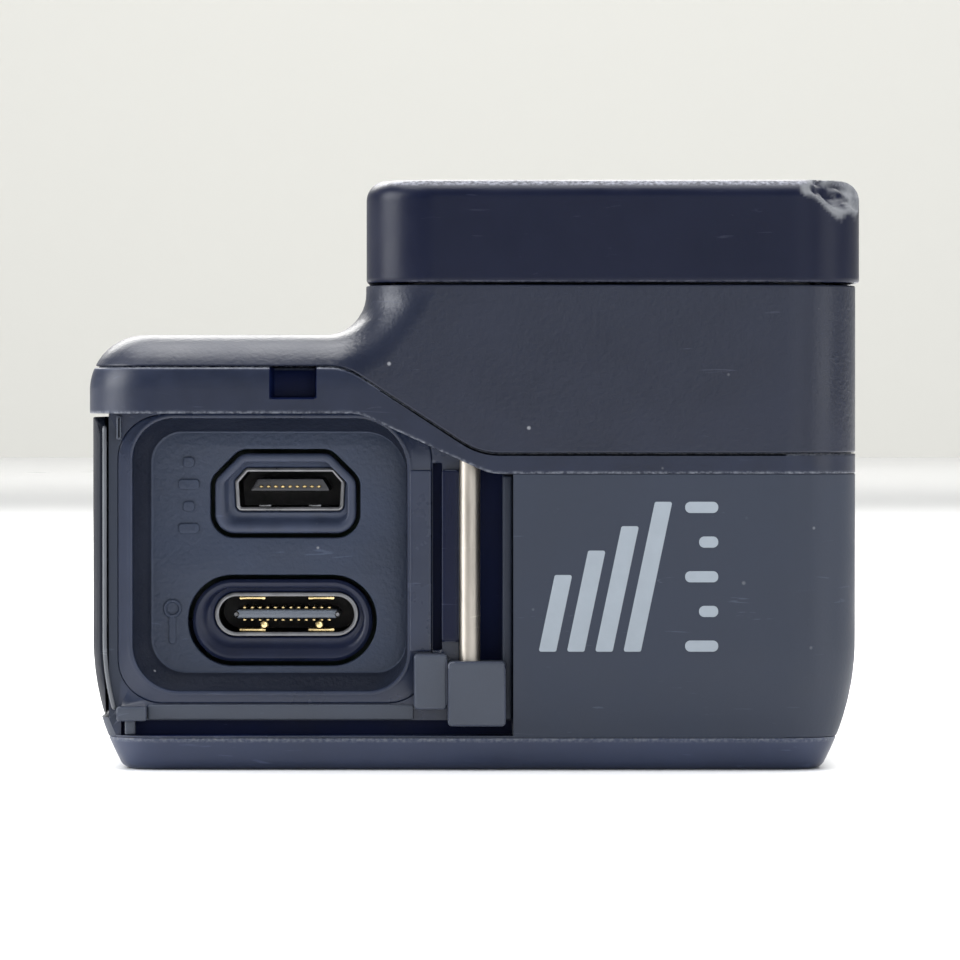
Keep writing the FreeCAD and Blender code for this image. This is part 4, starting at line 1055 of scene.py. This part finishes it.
def make_mode_button():
    """Long button with half-round ends, an eased rim and a face that dips to its middle."""
    low, high = span("mode_button")
    x, z, face = (low[0] + high[0]) / 2, (low[2] + high[2]) / 2, high[1]
    profile = [(-1.4, low[1]), (-1.3, 30.3), (-0.1, 30.3), (0.0, 30.4), (0.0, face - 0.3), (-0.08, face - 0.12),
               (-0.26, face - 0.03)]
    profile += [(g, face - 0.08 * float(smooth((-0.26 - g) / 1.6))) for g in (-0.4, -0.8, -1.2, -1.6, -2.0)]
    carried("mode_button", pill(x, z, 5.0, 2.2), profile, "xz", "mode_button", button_finish, ("mode_button",),
            arc=14)


def make_screens():
    """The two dark glasses, and the domed status light."""
    for node, corner, ease in (("touch_glass", 1.5, 0.12), ("status_window", 1.9, 0.08)):
        low, high = span(node)
        plate(node, rect(low[0], high[0], low[1], high[1], corner), low[2], high[2], "xy", "camera", glass_dark,
              (node,), ease, 10, 4.0)
    low, high = span("status_light")
    centre = ((low[0] + high[0]) / 2, (low[1] + high[1]) / 2, 0)
    dome = [(0.02, high[2]), (0.4, high[2] - 0.03), (0.7, high[2] - 0.12), (0.8, high[2] - 0.3), (0.8, low[2]),
            (0.02, low[2])]
    turned("status_light", dome, centre, "z", "camera", red_finish, ("status_light",), 32)


def make_battery_door():
    """Door, with the latch's opening left crisp, and its ribbed latch."""
    eased("battery_door", door_finish, 0.08, crisp=lambda m: near(m, None, -23.4, 11.7, (0, 3.2, 4.2)))
    eased("battery_latch", button_finish, 0.06)


def make_print():
    """Grey ink on the side wall: four slanted stripes that grow taller, and a column
    of short bars beside them."""
    front, back = case_low[1] - 0.005, case_low[1] + 0.03
    foot, lean, film = 6.9, 0.21, 0.004
    for i, tall in enumerate((4.4, 5.8, 7.2, 8.6)):
        left, right, head, shift = 3.7 + 1.62 * i, 4.7 + 1.62 * i, foot + tall, lean * tall
        stripe = [(left, foot, 0.12), (right, foot, 0.12), (right + shift, head, 0.12),
                  (left + shift, head, 0.12)]
        plate("ink_stripe_%d" % (i + 1), stripe, front, back, "xz", "camera", print_grey, (), film, 6)
    for i, half in enumerate((0.95, 0.55, 0.95, 0.55, 0.95)):
        low = foot + 1.99 * i
        plate("ink_bar_%d" % (i + 1), rect(14.0 - 2 * half, 14.0, low, low + 0.64, 0.3), front, back, "xz",
              "camera", print_grey, (), film, 8)


make_mid_band()
make_front_shell()
make_main_housing()
make_bay_blocks()
make_door_edge_highlight()
make_rear_bezel()
make_ports()
make_port_signs()
make_hinge_rod()
make_lens_cover()
make_lens()
make_shutter_button()
make_mode_button()
make_screens()
make_battery_door()
make_print()

# CAD pieces that keep their own shape take a finish by their material slot.
inner_finish = {"screw_steel": can_steel, "display_module": glass_dark, "circuit_board": board_green,
                "contact_gold": contact_gold, "sensor_package": glass_dark, "battery_wrap": wrap_blue,
                "bay_plastic": plastic_black, "card_plastic": plastic_black, "spreader_metal": spread_metal,
                "mesh_steel": mesh_metal, "lens_glass": lens_glass, "seal_rubber": seal_rubber,
                "rod_steel": rod_steel,}
for name, piece in frame["nodes"].items():
    if not piece.hide_render:
        piece.data.materials.clear()
        piece.data.materials.append(inner_finish[slot_of[name]])


# ------------------------------------------------------------ table, light and camera

SHEET_POINTS = 13
TABLE_HALF, TABLE_FRONT, TABLE_BACK = 3, -1.4, 2.1
WALL_FOOT, WALL_HEAD = -0.3, 2.4


def stage_sheet(name, corners, finish):
    """Flat sheet stretched over a grid between four corner points, in metres."""
    a, b, c, d = (np.array(p, float) for p in corners)
    u, v = np.meshgrid(np.linspace(0, 1, SHEET_POINTS), np.linspace(0, 1, SHEET_POINTS))
    u, v = u[..., None], v[..., None]
    points = ((a * (1 - u) + b * u) * (1 - v) + (d * (1 - u) + c * u) * v).reshape(-1, 3)
    mesh = bpy.data.meshes.new(name)
    mesh.from_pydata(points.tolist(), [], grid_faces(SHEET_POINTS, SHEET_POINTS, False, False).tolist())
    mesh.materials.append(finish)
    sheet = bpy.data.objects.new(name, mesh)
    bpy.context.scene.collection.objects.link(sheet)
    return sheet


table_finish = finish_of("pale_table_top", (0.80, 0.80, 0.81), 0.30, tint=0.008, tone_scale=5, grain=120,
                         grain_depth=0.002, rough_spread=0.04, specular=0.3)
wall_finish = finish_of("warm_grey_wall", (0.74, 0.735, 0.70), 0.9, tint=0.012, tone_scale=1.5, grain=60,
                        grain_depth=0.01)
stage_sheet("table_top", [(-TABLE_HALF, TABLE_FRONT, 0), (TABLE_HALF, TABLE_FRONT, 0),
                          (TABLE_HALF, TABLE_BACK, 0), (-TABLE_HALF, TABLE_BACK, 0)], table_finish)
stage_sheet("back_wall", [(-TABLE_HALF, TABLE_BACK, WALL_FOOT), (TABLE_HALF, TABLE_BACK, WALL_FOOT),
                          (TABLE_HALF, TABLE_BACK, WALL_HEAD), (-TABLE_HALF, TABLE_BACK, WALL_HEAD)],
            wall_finish)

world = bpy.data.worlds.new("soft_room")
bpy.context.scene.world = world
world.use_nodes = True
sky = world.node_tree.nodes["Background"]
sky.inputs["Color"].default_value = (0.93, 0.96, 1.0, 1)
sky.inputs["Strength"].default_value = 0.46


COOL, COOLER, WARM, WARMER = (0.95, 0.97, 1.0), (0.90, 0.95, 1.0), (1.0, 0.99, 0.96), (1.0, 0.985, 0.94)


def soft_light(name, place, towards, wide, tall, power, colour=(1, 1, 1)):
    """Rectangular light panel at a place, turned towards a point, in metres and watts."""
    light = bpy.data.lights.new(name, "AREA")
    light.shape = "RECTANGLE"
    light.size = wide
    light.size_y = tall
    light.energy = power
    light.color = colour
    lamp = bpy.data.objects.new(name, light)
    bpy.context.scene.collection.objects.link(lamp)
    lamp.location = place
    lamp.rotation_euler = (Vector(towards) - Vector(place)).to_track_quat("-Z", "Y").to_euler()


soft_light("ceiling_panel", (0.0, 0.02, 0.62), (0, -0.02, 0.02), 0.75, 0.50, 10.5)
soft_light("back_panel", (0.0, 0.62, 0.45), (0, 0.0, 0.02), 0.9, 0.35, 7.5, WARM)
soft_light("front_fill", (0.25, -0.80, 0.22), (0, 0, 0.015), 0.5, 0.3, 1.1, COOLER)
soft_light("left_window", (-0.55, -0.12, 0.20), (0, -0.03, 0.02), 0.35, 0.35, 4.0, COOL)
soft_light("right_window", (0.60, -0.30, 0.18), (0, -0.03, 0.02), 0.35, 0.35, 1.1, COOL)
soft_light("wall_wash", (0.0, 1.2, 1.3), (0, 2.1, 0.6), 1.2, 0.6, 5.8, WARMER)
soft_light("wall_foot", (0.0, 1.25, 0.55), (0, 2.1, 0.15), 1.6, 0.5, 4.3, WARMER)

view = bpy.data.cameras.new("camera_view")
viewer = bpy.data.objects.new("camera_view", view)
bpy.context.scene.collection.objects.link(viewer)
viewer.location = (0.0004, -0.38115, 0.0210)
aim = Vector((0.000335, -0.03115, 0.01675))
viewer.rotation_euler = (aim - viewer.location).to_track_quat("-Z", "Y").to_euler()
view.lens = 228.9
view.sensor_width = 36
view.clip_start = 0.02
bpy.context.scene.camera = viewer
bpy.context.scene.view_settings.view_transform = "Standard"

bpy.context.view_layer.update()
